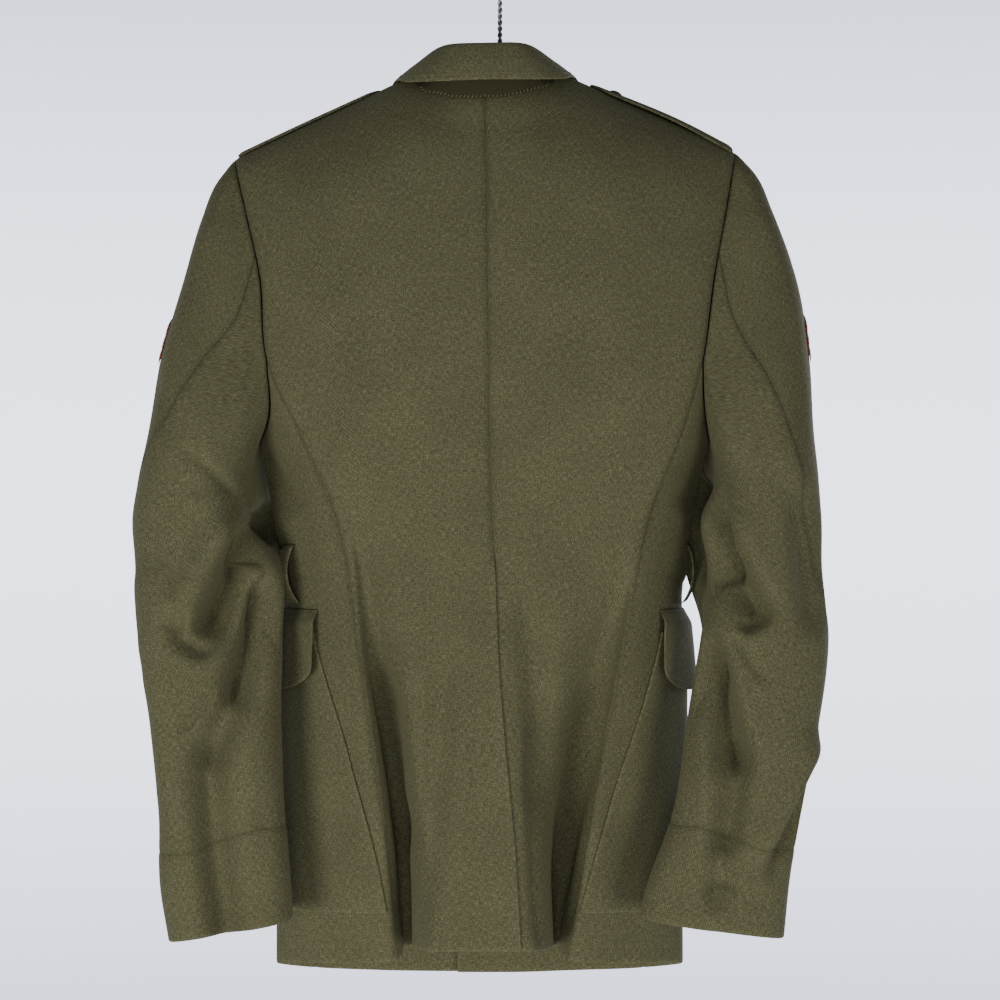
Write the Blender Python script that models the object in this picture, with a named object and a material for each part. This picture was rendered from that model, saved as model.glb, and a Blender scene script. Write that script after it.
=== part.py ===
"""Military dress tunic hanging on a twisted wire hanger.

Metres, +Z up. The origin is the inside of the hanger's hook. The front of the tunic faces -Y
and its back faces +Y, so the wearer's left is +X. Tables are in millimetres.
"""

import math

import bmesh
import bpy
import numpy as np

MM = 0.001
WALL = 2.0 * MM  # lined serge, one wall
SEAM_GAP = 0.3 * MM  # between two pieces at a seam
LAY_GAP = 0.4 * MM  # between a panel and a piece that lies on it
EDGE_TRIM = SEAM_GAP / 2
PROBE = 0.02  # step for slopes on the body and sleeves, in levels or lines

# ---- Body -------------------------------------------------------------------------------------
# The body is one surface through vertical lines. Each side has ten lines, from centre back round
# to the front edge; each line has a point at twelve levels, from the hem to the shoulder seam.
LEVELS = ("hem", "skirt", "pocket", "hip", "waist", "ribs", "chest", "armhole", "blade", "yoke",
          "roll", "shoulder")
LEVEL_Z = {"skirt": -804, "pocket": -720, "hip": -643, "waist": -570, "ribs": -506,
           "chest": -446, "armhole": -386}
SHOULDER_SHARE = {"blade": 0.40, "yoke": 0.74, "roll": 0.94}  # of the way from armhole to top
ARMHOLE_LEVEL = LEVELS.index("armhole")
TOP_LEVEL = LEVELS.index("shoulder")

BACK_LINES = ("centre", "neck", "crest", "valley", "seam", "side")
FRONT_LINES = ("front_seam", "front_outer", "front_inner", "edge")
HEM_Z = {"centre": -888, "neck": -888, "crest": -889, "valley": -896, "seam": -903,
         "side": -918, "front_seam": -925, "front_outer": -928, "front_inner": -929,
         "edge": -929}
TOP_Z = {  # shoulder seam; the right shoulder hangs 7 mm higher
    "left": {"centre": -155, "neck": -134, "crest": -158, "valley": -182, "seam": -206,
             "side": -206},
    "right": {"centre": -155, "neck": -131, "crest": -154, "valley": -177, "seam": -200,
              "side": -200},
}
# Level: (x, y) at centre, neck, crest, valley, side back seam and side.
LEFT_BACK = {
    "hem": ((-18, 92), (25, 90), (64, 84), (82, 20), (90, 46), (199, -30)),
    "skirt": ((-13, 86), (32, 83), (67, 76), (89, 20), (98, 50), (199, -28)),
    "pocket": ((-5, 79), (38, 76), (73, 68), (99, 26), (110, 53), (198, -26)),
    "hip": ((1, 72), (44, 70), (79, 63), (110, 42), (121, 54), (197, -22)),
    "waist": ((4, 65), (51, 65), (86, 61), (118, 54), (132, 53), (191, -12)),
    "ribs": ((8, 66), (56, 67), (92, 66), (124, 63), (147, 55), (203, -8)),
    "chest": ((9, 70), (60, 72), (101, 70), (141, 66), (175, 56), (213, -4)),
    "armhole": ((10, 72), (63, 74), (108, 72), (156, 66), (201, 50), (220, 0)),
    "blade": ((11, 70), (68, 71), (115, 68), (163, 59), (208, 43), (224, 0)),
    "yoke": ((12, 60), (74, 57), (122, 53), (172, 44), (222, 28), (232, 0)),
    "roll": ((13, 50), (78, 26), (128, 23), (180, 19), (231, 14), (235, 0)),
    "shoulder": ((13, 45), (79, 0), (130, 0), (182, 0), (233, 0), (233, 0)),
}
RIGHT_BACK = {
    "hem": ((-18, 92), (-27, 90), (-38, 82), (-50, 14), (-58, 44), (-163, -30)),
    "skirt": ((-13, 86), (-25, 83), (-38, 70), (-56, 14), (-74, 49), (-162, -28)),
    "pocket": ((-5, 79), (-21, 75), (-42, 54), (-68, 26), (-90, 53), (-162, -26)),
    "hip": ((1, 72), (-21, 68), (-52, 59), (-87, 41), (-106, 54), (-163, -22)),
    "waist": ((4, 65), (-26, 65), (-62, 62), (-98, 55), (-120, 53), (-161, -12)),
    "ribs": ((8, 66), (-34, 67), (-74, 65), (-110, 61), (-135, 54), (-172, -10)),
    "chest": ((9, 70), (-39, 72), (-84, 70), (-127, 65), (-158, 56), (-186, -6)),
    "armhole": ((10, 72), (-43, 74), (-89, 72), (-137, 65), (-175, 50), (-195, 0)),
    "blade": ((11, 70), (-46, 71), (-94, 68), (-143, 58), (-186, 43), (-202, 0)),
    "yoke": ((12, 60), (-50, 57), (-100, 53), (-150, 44), (-198, 28), (-208, 0)),
    "roll": ((13, 50), (-52, 26), (-104, 23), (-156, 19), (-205, 14), (-209, 0)),
    "shoulder": ((13, 45), (-53, 0), (-105, 0), (-158, 0), (-207, 0), (-207, 0)),
}
# Level: middle of the fronts, edge past that middle, edge y, seam in from the side, seam y, crown.
FRONT = {
    "hem": (18, -20, -52, 34, -48, 3),
    "skirt": (18, -20, -52, 34, -48, 3),
    "pocket": (18, -20, -53, 33, -48, 4),
    "hip": (17, -20, -54, 32, -46, 5),
    "waist": (15, -20, -56, 30, -42, 6),
    "ribs": (14, -20, -64, 30, -46, 7),
    "chest": (13, -19, -73, 30, -50, 8),
    "armhole": (13, 8, -77, 22, -48, 10),
    "blade": (13, 32, -70, 18, -40, 12),
    "yoke": (13, 52, -52, 10, -27, 11),
    "roll": (13, 64, -22, 4, -14, 4),
}
LINES_A_SIDE = len(BACK_LINES) + len(FRONT_LINES)
CENTRE = LINES_A_SIDE - 1  # place of the centre back line across the whole body
LAST_LINE = 2 * CENTRE
SEAM_LINE = BACK_LINES.index("seam")  # lines from centre back
SIDE_LINE = BACK_LINES.index("side")
FRONT_EDGE_LINE = LINES_A_SIDE - 1
FRONT_SEAM_LINE = SIDE_LINE + 1
ARMPIT_DIP = 1.15  # levels that the armhole's foot lies below its sides

# ---- Back vent and front lap ------------------------------------------------------------------
VENT_TOP = 4.0  # level of the vent's head, at the waist
UNDERLAP_LINES = 0.67  # how far the right half runs under the left, in lines (about 30 mm)
LAP_DROP = WALL + 0.6 * MM  # the right back lies this far in at the vent
LAP_LINES = 2.0  # it comes out to the body surface this many lines from centre back
LAP_FADE = 1.6
UNDERLAP_OPENS = 0.3  # levels over which the underlap reaches its width
UNDERLAP_CLOSED = 0.03  # step between the underlap's columns above the vent, in lines
FRONT_LAP_DROP = WALL + 3.4 * MM  # the right front lies this far in under the left
FRONT_LAP_LINES = 1.9
FRONT_LAP_FADE = 1.1
LAP_TOP = 6.8  # the front edges lie over each other up to this level
LAP_EASE = 0.45  # levels over which either lap opens

# Columns of the body panels between one line and the next, from centre back round to the front.
BACK_SPANS = (3, 2, 4, 3)
SIDE_SPANS = (4, 3)
FRONT_SPANS = (2, 2, 3)
# Levels of the rows in every body panel, closer at the hem, the vent's head and the shoulder.
ROW_LEVELS = (0, 0.2, 0.42, 0.7, 1, 1.4, 1.8, 2.2, 2.62, 3, 3.3, 3.56, 3.8, 4, 4.3, 4.65, 5,
              5.4, 5.8, 6.2, 6.6, 7, 7.4, 7.7, 8, 8.35, 8.7, 9, 9.3, 9.6, 9.85, 10.1, 10.4,
              10.7, 11)

# ---- Sleeves ----------------------------------------------------------------------------------
# z: outer x, inner x, y of the middle, half depth, as the sleeve hangs from the armhole; then how
# far its inner front swells towards the body and forwards, to close the space under the arm.
LEFT_SLEEVE = {
    -207: (234, 222, 0, 8, 0, 0),
    -227: (249, 218, 1, 26, 0, 0),
    -260: (262, 213, 4, 40, 0, 0),
    -314: (277, 208, 8, 50, 0, 0),
    -384: (296, 209, 14, 54, 0, 0),
    -454: (307, 218, 25, 50, 6, 9),
    -489: (314, 218, 28, 47, 25, 28),
    -523: (319, 214, 30, 45, 28, 30),
    -558: (317, 197, 32, 44, 12, 22),
    -628: (312, 191, 36, 40, 0, 0),
    -698: (301, 190, 40, 37, 0, 0),
    -768: (295, 186, 42, 34, 0, 0),
    -838: (293, 181, 44, 32, 0, 0),
    -900: (284, 179, 46, 31, 0, 0),
}
RIGHT_SLEEVE = {
    -201: (-208, -197, 0, 8, 0, 0),
    -220: (-225, -193, 1, 26, 0, 0),
    -252: (-239, -188, 4, 40, 0, 0),
    -314: (-260, -183, 8, 50, 0, 0),
    -384: (-270, -183, 15, 54, 0, 0),
    -454: (-273, -193, 28, 50, 6, 9),
    -489: (-276, -188, 33, 47, 22, 26),
    -523: (-278, -172, 37, 45, 13, 27),
    -558: (-278, -169, 40, 43, 0, 10),
    -628: (-283, -174, 48, 38, 0, 0),
    -698: (-274, -160, 54, 34, 0, 0),
    -768: (-260, -150, 58, 31, 0, 0),
    -838: (-247, -126, 62, 29, 0, 0),
    -900: (-241, -112, 64, 28, 0, 0),
}
SWELL_TURN = 0.635  # where round the sleeve the inner front swells most, and its half width
SWELL_WIDTH = 0.085
CAP_SHARE = 0.42  # share of the sleeve's rows that fan out from the armhole
CAP_FADE = 1.6
SLEEVE_PROBE = 0.004
ARMHOLE_SIDE_SHARE = 0.34  # share of the way round that each side of the armhole takes
ROUNDNESS = 2.3  # power of the sleeve's oval section
# Shares of the sleeve's length from armhole to cuff seam: closest about the elbow.
SLEEVE_SHARES = ((0, 0.42, 11), (0.42, 0.72, 12), (0.72, 1, 8))
UNDER_SPANS = 3  # columns of the under sleeve between the elbow seam and the side back seam
TOP_COLUMNS = 7
CUFF_ROWS = 3

# ---- Folds ------------------------------------------------------------------------------------
# Large folds as straight troughs seen from behind: x and z of both ends, depth and half width.
# A negative depth is a ridge. Each fades out past its ends and where the cloth turns away.
FOLD_END = 0.18  # share of its length over which a fold fades at each end
FOLD_FACING = (0.05, 0.5)  # lean of the cloth towards the back where folds begin and are full
SLEEVE_FOLD_ROWS = (0.1, 0.2)  # rows from the armhole where sleeve folds begin and grow
LEFT_SLEEVE_FOLDS = (
    (214, -528, 258, -618, 16, 15),
    (268, -622, 292, -634, 9, 15),
    (200, -600, 258, -690, 12, 18),
    (246, -700, 243, -850, 9, 20),
    (306, -570, 298, -640, -4, 16),
    (236, -560, 262, -590, -5, 12),
)
RIGHT_SLEEVE_FOLDS = (
    (-186, -490, -228, -594, 16, 15),
    (-226, -604, -190, -560, 11, 14),
    (-212, -626, -236, -652, 8, 10),
    (-268, -724, -230, -796, -9, 13),
    (-258, -716, -214, -800, 9, 15),
    (-188, -650, -176, -800, 7, 16),
)
BODY_FOLDS = (
    (50, -640, 66, -860, 7, 16),
    (214, -462, 178, -512, 6, 9),
    (-188, -466, -160, -512, 6, 10),
    (-30, -580, -52, -800, 6, 14),
)

# Height where the sleeve's rings turn level; hem and cuff seam at the outer and the inner side;
# elbow seam and inseam as (share of the sleeve, turn).
SLEEVES = {
    "left": {"rings": LEFT_SLEEVE, "level_z": -500, "hem": (-886, -867), "cuff": (-810, -787),
             "elbow": ((0, 0.23), (0.1, 0.243), (0.21, 0.213), (0.37, 0.125), (0.46, 0.03),
                       (0.62, -0.03), (1, -0.06)),
             "inseam": ((0, 0.66), (0.3, 0.62), (1, 0.60)), "folds": LEFT_SLEEVE_FOLDS},
    "right": {"rings": RIGHT_SLEEVE, "level_z": -500, "hem": (-880, -862), "cuff": (-805, -783),
              "elbow": ((0, 0.23), (0.07, 0.25), (0.15, 0.244), (0.29, 0.202), (0.41, 0.155),
                        (0.5, 0.115), (0.57, 0.064), (0.66, 0.0), (1, -0.06)),
              "inseam": ((0, 0.66), (0.3, 0.62), (1, 0.60)), "folds": RIGHT_SLEEVE_FOLDS},
}

# ---- Collar -----------------------------------------------------------------------------------
# From the back to the front end: line or level of the neck seam there, then the fold and the
# outer edge as (out from the middle, y, z).
COLLAR_MIDDLE = 13
COLLAR = (
    ("across", 0.0, (0, 51, -112), (0, 57, -144)),
    ("across", 0.45, (31, 46, -112), (42, 53, -144)),
    ("across", 0.8, (43, 28, -114), (68, 34, -141)),
    ("across", 1.0, (47, 4, -120), (79, 5, -135.5)),
    ("down", 10.5, (48, -20, -130), (86, -25, -145)),
    ("down", 9.9, (48, -44, -150), (90, -56, -166)),
    ("down", 9.35, (46, -58, -182), (92, -75, -199)),
)
COLLAR_TILT = 0.02  # the right side sits higher, by this share of the way out from the middle
COLLAR_WALL = 2.2 * MM
COLLAR_LIP_IN = 5.0 * MM  # inner leg of the fold, in and down from its top
COLLAR_LIP_DOWN = 6.0 * MM
COLLAR_SWELL = 2.0 * MM
COLLAR_SEAT = (0.9 * MM, 1.0 * MM)  # from the neck seam up and in to the stand
COLLAR_JOIN = 2.4 * MM  # from the fold's inner leg down to the stand
COLLAR_COLUMNS = 26

# ---- Pieces sewn on ---------------------------------------------------------------------------
PIECE_WALL = 2.0 * MM
# Patch pocket in body lines from centre back and levels: rear edge at the top and bottom.
POCKET = {"rear_top": 4.46, "rear_foot": 4.07, "front": 7.7, "top": 3.3, "foot": 0.42,
          "swell": 3.0 * MM, "crowd": 0.03}
FLAP = {"rear": 4.42, "front": 7.8, "top": 3.56, "foot": 2.62, "corner": 0.22,
        "corner_share": 0.1, "step_share": 0.22, "stand_off": 5.0 * MM}
BELT_LOOP = {"line": {"left": 4.67, "right": 4.88}, "half_lines": 0.065, "top": -545,
             "foot": -597, "bow": 10.0}
# Shoulder strap over the seam: its middle and half widths in millimetres behind the seam, and how
# far it bows up between its ends.
EPAULETTE = {"from": 3.93, "to": 1.5, "middle": {"left": -14.0, "right": -9.0},
             "half_width": 22.0, "end_half_width": 18.0, "wall": 1.8 * MM, "seat": 0.9 * MM,
             "bow": {"left": 0.2 * MM, "right": 2.0 * MM}, "round_share": 0.12}
SHOULDER_ROLL = 25.0  # millimetres of cloth in the last level below the shoulder seam
LAPEL = {"columns": 6, "rows": 13, "foot": 6.78, "top": 9.3, "lines": 1.75, "roll": 2.2 * MM,
         "slant": 0.38, "widest": 0.8, "least": 0.06}
# Row of its point's top, rows for each millimetre down the sleeve, and how far its arms fall.
CHEVRON = {"row": 0.165, "rows": 0.0015, "middle": -0.125, "half_turn": 0.155, "rise": 30.0,
           "height": 33.0, "wall": 1.4 * MM}

BUTTONS = {  # radius, height
    "large": (10.0 * MM, 4.5 * MM),
    "small": (7.5 * MM, 3.6 * MM),
}
BUTTON_SIDES = 12
# Shares of radius and height, from the middle of the back over the rim to the top.
BUTTON_PROFILE = ((0.0, 0.0), (0.62, 0.0), (0.94, 0.28), (1.0, 0.42), (0.94, 0.56), (0.6, 0.9),
                  (0.0, 1.0))
FRONT_BUTTON_LEVELS = (5.75, 4.35, 2.95)
FRONT_BUTTON_LINE = 0.28

# ---- Hanger -----------------------------------------------------------------------------------
WIRE_RADIUS = 1.3 * MM
HOOK_RADIUS = 21.0 * MM
HOOK_START = -70.0  # degrees
HOOK_TURN = 265.0
# Two wires twisted together, from the foot up to the hook: x, z and radius.
HANGER_NECK = ((0, -124.4, 2.2), (0, -90, 2.2), (0, -78, 2.2), (0, -66, 2.2),
               (-0.4, -56, 1.7), (0.6, -48, 1.3))
HANGER_APEX = -126.0
# Line, and millimetres from the shoulder cloth's outer face down to the wire's middle there.
HANGER_PATH = ((1.05, 9.0), (1.5, 5.6), (2.0, 4.6), (2.6, 4.3), (3.1, 4.3), (3.5, 4.3))
# Corner of the hanger from the wire's last point: out and up, down to the bar.
HANGER_CORNER = ((6, -4), (8.5, -9), (6, -14), (0, -16), (-30, -16))

# ---- Finishes: colour (linear), roughness, metallic -------------------------------------------
FINISHES = {
    "serge": ((0.098, 0.090, 0.045, 1), 0.92, 0.0),
    "red_braid": ((0.34, 0.075, 0.06, 1), 0.85, 0.0),
    "bronze": ((0.16, 0.11, 0.055, 1), 0.42, 0.9),
    "wire": ((0.30, 0.29, 0.28, 1), 0.38, 0.9),
}


def clear_scene():
    for obj in list(bpy.data.objects):
        bpy.data.objects.remove(obj, do_unlink=True)


def finish(name, slot):
    colour, roughness, metallic = FINISHES[slot]
    material = bpy.data.materials.new(name)
    material.use_nodes = True
    shader = material.node_tree.nodes["Principled BSDF"]
    shader.inputs["Base Color"].default_value = colour
    shader.inputs["Roughness"].default_value = roughness
    shader.inputs["Metallic"].default_value = metallic
    return material


# ---- Curves -----------------------------------------------------------------------------------


def through(points, at, own_column=False):
    """Smooth curve through points along their first axis, read at fractional places.

    Tangents are weighted by the root of the distances, so a short step beside a long one turns
    tightly. With own_column each place reads its own column of the second axis.
    """
    at = np.clip(np.asarray(at, float), 0, len(points) - 1)
    gaps = np.diff(points, axis=0)
    step = np.sqrt(np.linalg.norm(gaps, axis=-1, keepdims=True)) + 1e-6
    slope = gaps / step
    middle = (slope[:-1] * step[1:] + slope[1:] * step[:-1]) / (step[:-1] + step[1:])
    tangent = np.concatenate([slope[:1], middle, slope[-1:]])
    i = np.minimum(at.astype(int), len(points) - 2)
    where = (i, np.arange(len(at))) if own_column else (i,)
    after = (i + 1, *where[1:])
    f = (at - i).reshape((-1,) + (1,) * (points[where].ndim - 1))
    return (
        (1 + 2 * f) * (1 - f) ** 2 * points[where]
        + f * (1 - f) ** 2 * step[where] * tangent[where]
        + f**2 * (3 - 2 * f) * points[after]
        + f**2 * (f - 1) * step[where] * tangent[after]
    )


def ease(x):
    x = np.clip(x, 0, 1)
    return x * x * (3 - 2 * x)


def unit(v):
    return v / np.maximum(np.linalg.norm(v, axis=-1, keepdims=True), 1e-12)


# ---- Body surface -----------------------------------------------------------------------------


def side_lines(side):
    """Points of one side's lines, lines x levels x 3, from centre back round to the front."""
    back = LEFT_BACK if side == "left" else RIGHT_BACK
    sign = 1 if side == "left" else -1
    top = dict(TOP_Z[side])
    top.update(front_seam=top["seam"], front_outer=top["valley"], front_inner=top["crest"],
               edge=top["neck"])
    lines = np.zeros((LINES_A_SIDE, len(LEVELS), 3))
    for level, name in enumerate(LEVELS):
        places = list(back[name])
        if name == "shoulder":
            places += [(x, -y) for x, y in (places[4], places[3], places[2], places[1])]
        else:
            middle, past, edge_y, inset, seam_y, crown = FRONT[name]
            seam = np.array([places[SIDE_LINE][0] - sign * inset, seam_y], float)
            edge = np.array([middle + sign * past, edge_y], float)
            places.append(seam)
            for share, part in ((1 / 3, 0.9), (2 / 3, 0.5)):
                places.append(seam + (edge - seam) * share - np.array([0, crown * part]))
            places.append(edge)
        for k, line in enumerate(BACK_LINES + FRONT_LINES):
            if name == "hem":
                z = HEM_Z[line]
            elif name in LEVEL_Z:
                z = LEVEL_Z[name]
            else:
                share = SHOULDER_SHARE.get(name, 1.0)
                z = LEVEL_Z["armhole"] + (top[line] - LEVEL_Z["armhole"]) * share
            lines[k, level] = (*places[k], z)
    return lines


def body_lines():
    """All lines across the body, left front edge to right front edge, with one level past the
    shoulder seam: the other side's roll, so that the cloth turns smoothly over the shoulder."""
    left, right = side_lines("left"), side_lines("right")
    lines = np.concatenate([left[::-1], right[1:]])
    past = np.zeros((len(lines), 1, 3))
    roll = LEVELS.index("roll")
    for half, sign in ((left, -1), (right, 1)):
        for k in range(LINES_A_SIDE):
            past[CENTRE + sign * k, 0] = half[(LINES_A_SIDE - k) % LINES_A_SIDE, roll]
    # At the back of the neck the cloth simply runs on upwards.
    past[CENTRE, 0] = 2 * lines[CENTRE, TOP_LEVEL] - lines[CENTRE, roll]
    return np.concatenate([lines, past], axis=1).transpose(1, 0, 2) * MM


BODY = body_lines()


def shoulder_places():
    """The shoulder seam's own points, in metres, at lines 1 to 4 of each side."""
    sides = {}
    for side, sign in (("left", -1), ("right", 1)):
        first = CENTRE + sign
        points = [BODY[TOP_LEVEL, first + sign * k] for k in range(SEAM_LINE)]
        sides[side] = np.array(points)
    return sides


SHOULDER = shoulder_places()


def trough(points, facing, folds):
    """How far each point is pushed in by the folds, seen from behind."""
    push = np.zeros(len(points))
    for x0, z0, x1, z1, depth, width in folds:
        start = np.array([x0, z0]) * MM
        run = np.array([x1 - x0, z1 - z0]) * MM
        rel = points[:, [0, 2]] - start
        along = rel @ run / (run @ run)
        across = np.abs(rel[:, 0] * run[1] - rel[:, 1] * run[0]) / np.linalg.norm(run)
        ends = ease((along + FOLD_END) / (2 * FOLD_END))
        ends *= ease((1 + FOLD_END - along) / (2 * FOLD_END))
        push += depth * MM * ends * np.exp(-((across / (width * MM)) ** 2))
    start, span = FOLD_FACING
    return push * ease((facing - start) / span)


def body_raw(line, level):
    points = surface_between(line, level)
    # Fronts and backs meet on one shoulder seam.
    away = np.abs(line - CENTRE)
    along = np.where(away <= SIDE_LINE, away, 2 * SIDE_LINE - away)
    on_seam = (along > 1) & (along < SEAM_LINE) & (level > TOP_LEVEL - 1)
    for side, sign in (("left", -1), ("right", 1)):
        here = on_seam & (np.sign(line - CENTRE) == sign)
        if here.any():
            seam = through(SHOULDER[side], along[here] - 1)
            miss = seam - surface_between(line[here], np.full(here.sum(), float(TOP_LEVEL)))
            points[here] += miss * ease(level[here] - TOP_LEVEL + 1)[:, None]
    return points


def surface_between(line, level):
    across = through(BODY, level)
    return through(across.transpose(1, 0, 2), line, own_column=True)


def slopes_normal(surface, a, b, step_a, step_b):
    """Unit normal of a surface from its slopes in both parameters."""
    along_a = surface(a + step_a, b) - surface(a - step_a, b)
    along_b = surface(a, b + step_b) - surface(a, b - step_b)
    return unit(np.cross(along_a, along_b))


def body(line, level):
    """Outer face of the body cloth, and its outward normal, for arrays of lines and levels."""
    points = body_raw(line, level)
    normal = slopes_normal(body_raw, line, level, PROBE, PROBE)
    push = trough(points, normal[:, 1], BODY_FOLDS)
    return points - push[:, None] * normal, normal


def vent_lap(line, level):
    """How far in the right back lies where the left back laps over it."""
    across = ease((CENTRE + LAP_LINES - line) / LAP_FADE)
    return LAP_DROP * across * ease((VENT_TOP + LAP_EASE - level) / LAP_EASE)


def front_lap(line, level):
    """How far in the right front lies where the left front laps over it."""
    across = ease((line - LAST_LINE + FRONT_LAP_LINES) / FRONT_LAP_FADE)
    return FRONT_LAP_DROP * across * ease((LAP_TOP + LAP_EASE - level) / LAP_EASE)


def ticks(start, stop, *counts):
    """Places from start to stop, one count of steps for each whole line between them."""
    places = [start]
    bounds = np.linspace(start, stop, len(counts) + 1)
    for low, high, count in zip(bounds[:-1], bounds[1:], counts):
        places += list(np.linspace(low, high, count + 1)[1:])
    return np.array(places)


# ---- Meshes -----------------------------------------------------------------------------------


def sheet(name, outer, inner, slot, wraps=False):
    """Closed wall between two grids of points, rows x columns; wraps joins the last column to
    the first. The rims close its open sides."""
    rows, columns = outer.shape[:2]
    points = np.concatenate([outer.reshape(-1, 3), inner.reshape(-1, 3)])
    far = rows * columns
    faces = []

    def at(row, column):
        return row * columns + column % columns

    spans = columns if wraps else columns - 1
    for r in range(rows - 1):
        for c in range(spans):
            a, b, d, e = at(r, c), at(r, c + 1), at(r + 1, c + 1), at(r + 1, c)
            faces += [(a, b, d, e), (far + a, far + e, far + d, far + b)]
    for c in range(spans):
        a, b = at(0, c), at(0, c + 1)
        faces.append((b, a, far + a, far + b))
        a, b = at(rows - 1, c), at(rows - 1, c + 1)
        faces.append((a, b, far + b, far + a))
    if not wraps:
        for r in range(rows - 1):
            a, b = at(r, 0), at(r + 1, 0)
            faces.append((a, b, far + b, far + a))
            a, b = at(r, columns - 1), at(r + 1, columns - 1)
            faces.append((b, a, far + a, far + b))
    return add_mesh(name, points, faces, slot)


def add_mesh(name, points, faces, slot):
    mesh = bpy.data.meshes.new(name)
    mesh.from_pydata(points.tolist(), [], faces)
    bm = bmesh.new()
    bm.from_mesh(mesh)
    bmesh.ops.recalc_face_normals(bm, faces=bm.faces)
    if bm.calc_volume(signed=True) < 0:
        bmesh.ops.reverse_faces(bm, faces=bm.faces)
    bm.to_mesh(mesh)
    bm.free()
    mesh.shade_smooth()
    mesh.set_sharp_from_angle(angle=math.radians(50))
    mesh.materials.append(finish(name, slot))
    obj = bpy.data.objects.new(name, mesh)
    bpy.context.scene.collection.objects.link(obj)
    return obj


def trim(outer, inner, sides, amount=EDGE_TRIM):
    """Draws the named sides of both grids in by half a seam gap, along the cloth."""
    places = {"first_row": (0, 1), "last_row": (-1, -2)}
    columns = {"first_column": (0, 1), "last_column": (-1, -2)}
    for side in sides:
        if side in places:
            edge, next_in = places[side]
            shift = unit(outer[next_in] - outer[edge]) * amount
            outer[edge] += shift
            inner[edge] += shift
        else:
            edge, next_in = columns[side]
            shift = unit(outer[:, next_in] - outer[:, edge]) * amount
            outer[:, edge] += shift
            inner[:, edge] += shift
    return outer, inner


def grid(line, level, surface, lift=None, wall=WALL):
    """Outer and inner grids of a wall on a surface; lift moves both faces out."""
    points, normal = surface(line.ravel(), level.ravel())
    if lift is not None:
        points = points + np.ravel(lift)[:, None] * normal
    inner = points - wall * normal
    return points.reshape(*line.shape, 3), inner.reshape(*line.shape, 3)


# ---- Body panels ------------------------------------------------------------------------------


def back_panels():
    left = ticks(CENTRE - SEAM_LINE, CENTRE, *BACK_SPANS[::-1])
    level = np.array(ROW_LEVELS, float)
    line, rows = np.meshgrid(left, level)
    sheet("back_left", *trim(*grid(line, rows, body), ("first_column", "last_column",
                                                        "last_row")), "serge")
    right = ticks(CENTRE, CENTRE + SEAM_LINE, *BACK_SPANS)
    # Above the vent's head the underlap's columns close up beside the seam.
    under = CENTRE - UNDERLAP_LINES * np.array([1, 0.5, 0])
    closed = CENTRE + UNDERLAP_CLOSED * np.array([0, 1, 2])
    opened, rows = np.meshgrid(np.concatenate([under, right[1:]]), level)
    shut, _ = np.meshgrid(np.concatenate([closed, right[1:]]), level)
    line = shut + (opened - shut) * ease((VENT_TOP - rows) / UNDERLAP_OPENS)
    outer, inner = grid(line, rows, body, -vent_lap(line, rows))
    sheet("back_right", *trim(outer, inner, ("first_column", "last_column", "last_row")), "serge")


def armhole_foot(line):
    """Highest level of the side body at a line counted from centre back: a U between the
    armhole's sides."""
    from_side = np.abs(line - SIDE_LINE)
    return ARMHOLE_LEVEL - ARMPIT_DIP * (1 - from_side**2)


def side_panels():
    share = np.array([r / ARMHOLE_LEVEL for r in ROW_LEVELS if r <= ARMHOLE_LEVEL])
    for side, sign in (("left", -1), ("right", 1)):
        across = ticks(SEAM_LINE, FRONT_SEAM_LINE, *SIDE_SPANS)
        if sign < 0:
            across = across[::-1]
        away, rows = np.meshgrid(across, share * ARMHOLE_LEVEL)
        # Rows stay level up to the waist, then bend to the armhole's foot.
        bend = ease((rows - VENT_TOP) / (ARMHOLE_LEVEL - VENT_TOP))
        rows = rows + (armhole_foot(away) - ARMHOLE_LEVEL) * bend * (rows / ARMHOLE_LEVEL)
        outer, inner = grid(CENTRE + sign * away, rows, body)
        trim(outer, inner, ("first_column", "last_column", "last_row"))
        sheet(f"side_body_{side}", outer, inner, "serge")


def front_panels():
    for side, start, stop in (("left", 0, 3), ("right", LAST_LINE - 3, LAST_LINE)):
        counts = FRONT_SPANS[::-1] if side == "left" else FRONT_SPANS
        line, rows = np.meshgrid(ticks(start, stop, *counts), np.array(ROW_LEVELS, float))
        lift = -front_lap(line, rows) if side == "right" else None
        outer, inner = grid(line, rows, body, lift)
        trim(outer, inner, ("first_column", "last_column", "last_row"))
        sheet(f"front_{side}", outer, inner, "serge")


# ---- Sleeve surface ---------------------------------------------------------------------------


def armhole_loop(side, turn):
    """Places on the armhole, round from the shoulder tip down the back and up the front, with the
    body's normal there and the direction in the cloth that leads off the body."""
    sign = -1 if side == "left" else 1

    def place(turn):
        turn = np.mod(turn, 1.0)
        down = np.clip(turn / ARMHOLE_SIDE_SHARE, 0, 1)
        up = np.clip((1 - turn) / ARMHOLE_SIDE_SHARE, 0, 1)
        foot = (turn - ARMHOLE_SIDE_SHARE) / (1 - 2 * ARMHOLE_SIDE_SHARE)
        away = SIDE_LINE + np.clip(foot, 0, 1) * 2 - 1
        sides = TOP_LEVEL - (TOP_LEVEL - ARMHOLE_LEVEL) * np.minimum(down, up)
        on_foot = (down >= 1) & (up >= 1)
        return body(CENTRE + sign * away, np.where(on_foot, armhole_foot(away), sides))

    points, normal = place(turn)
    ahead, _ = place(turn + SLEEVE_PROBE)
    behind, _ = place(turn - SLEEVE_PROBE)
    off = unit(np.cross(ahead - behind, normal))
    middle = np.mean(place(np.linspace(0, 1, 20, endpoint=False))[0], axis=0)
    off *= np.sign(np.sum(off * (middle - points), axis=1, keepdims=True))
    return points, normal, off


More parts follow.
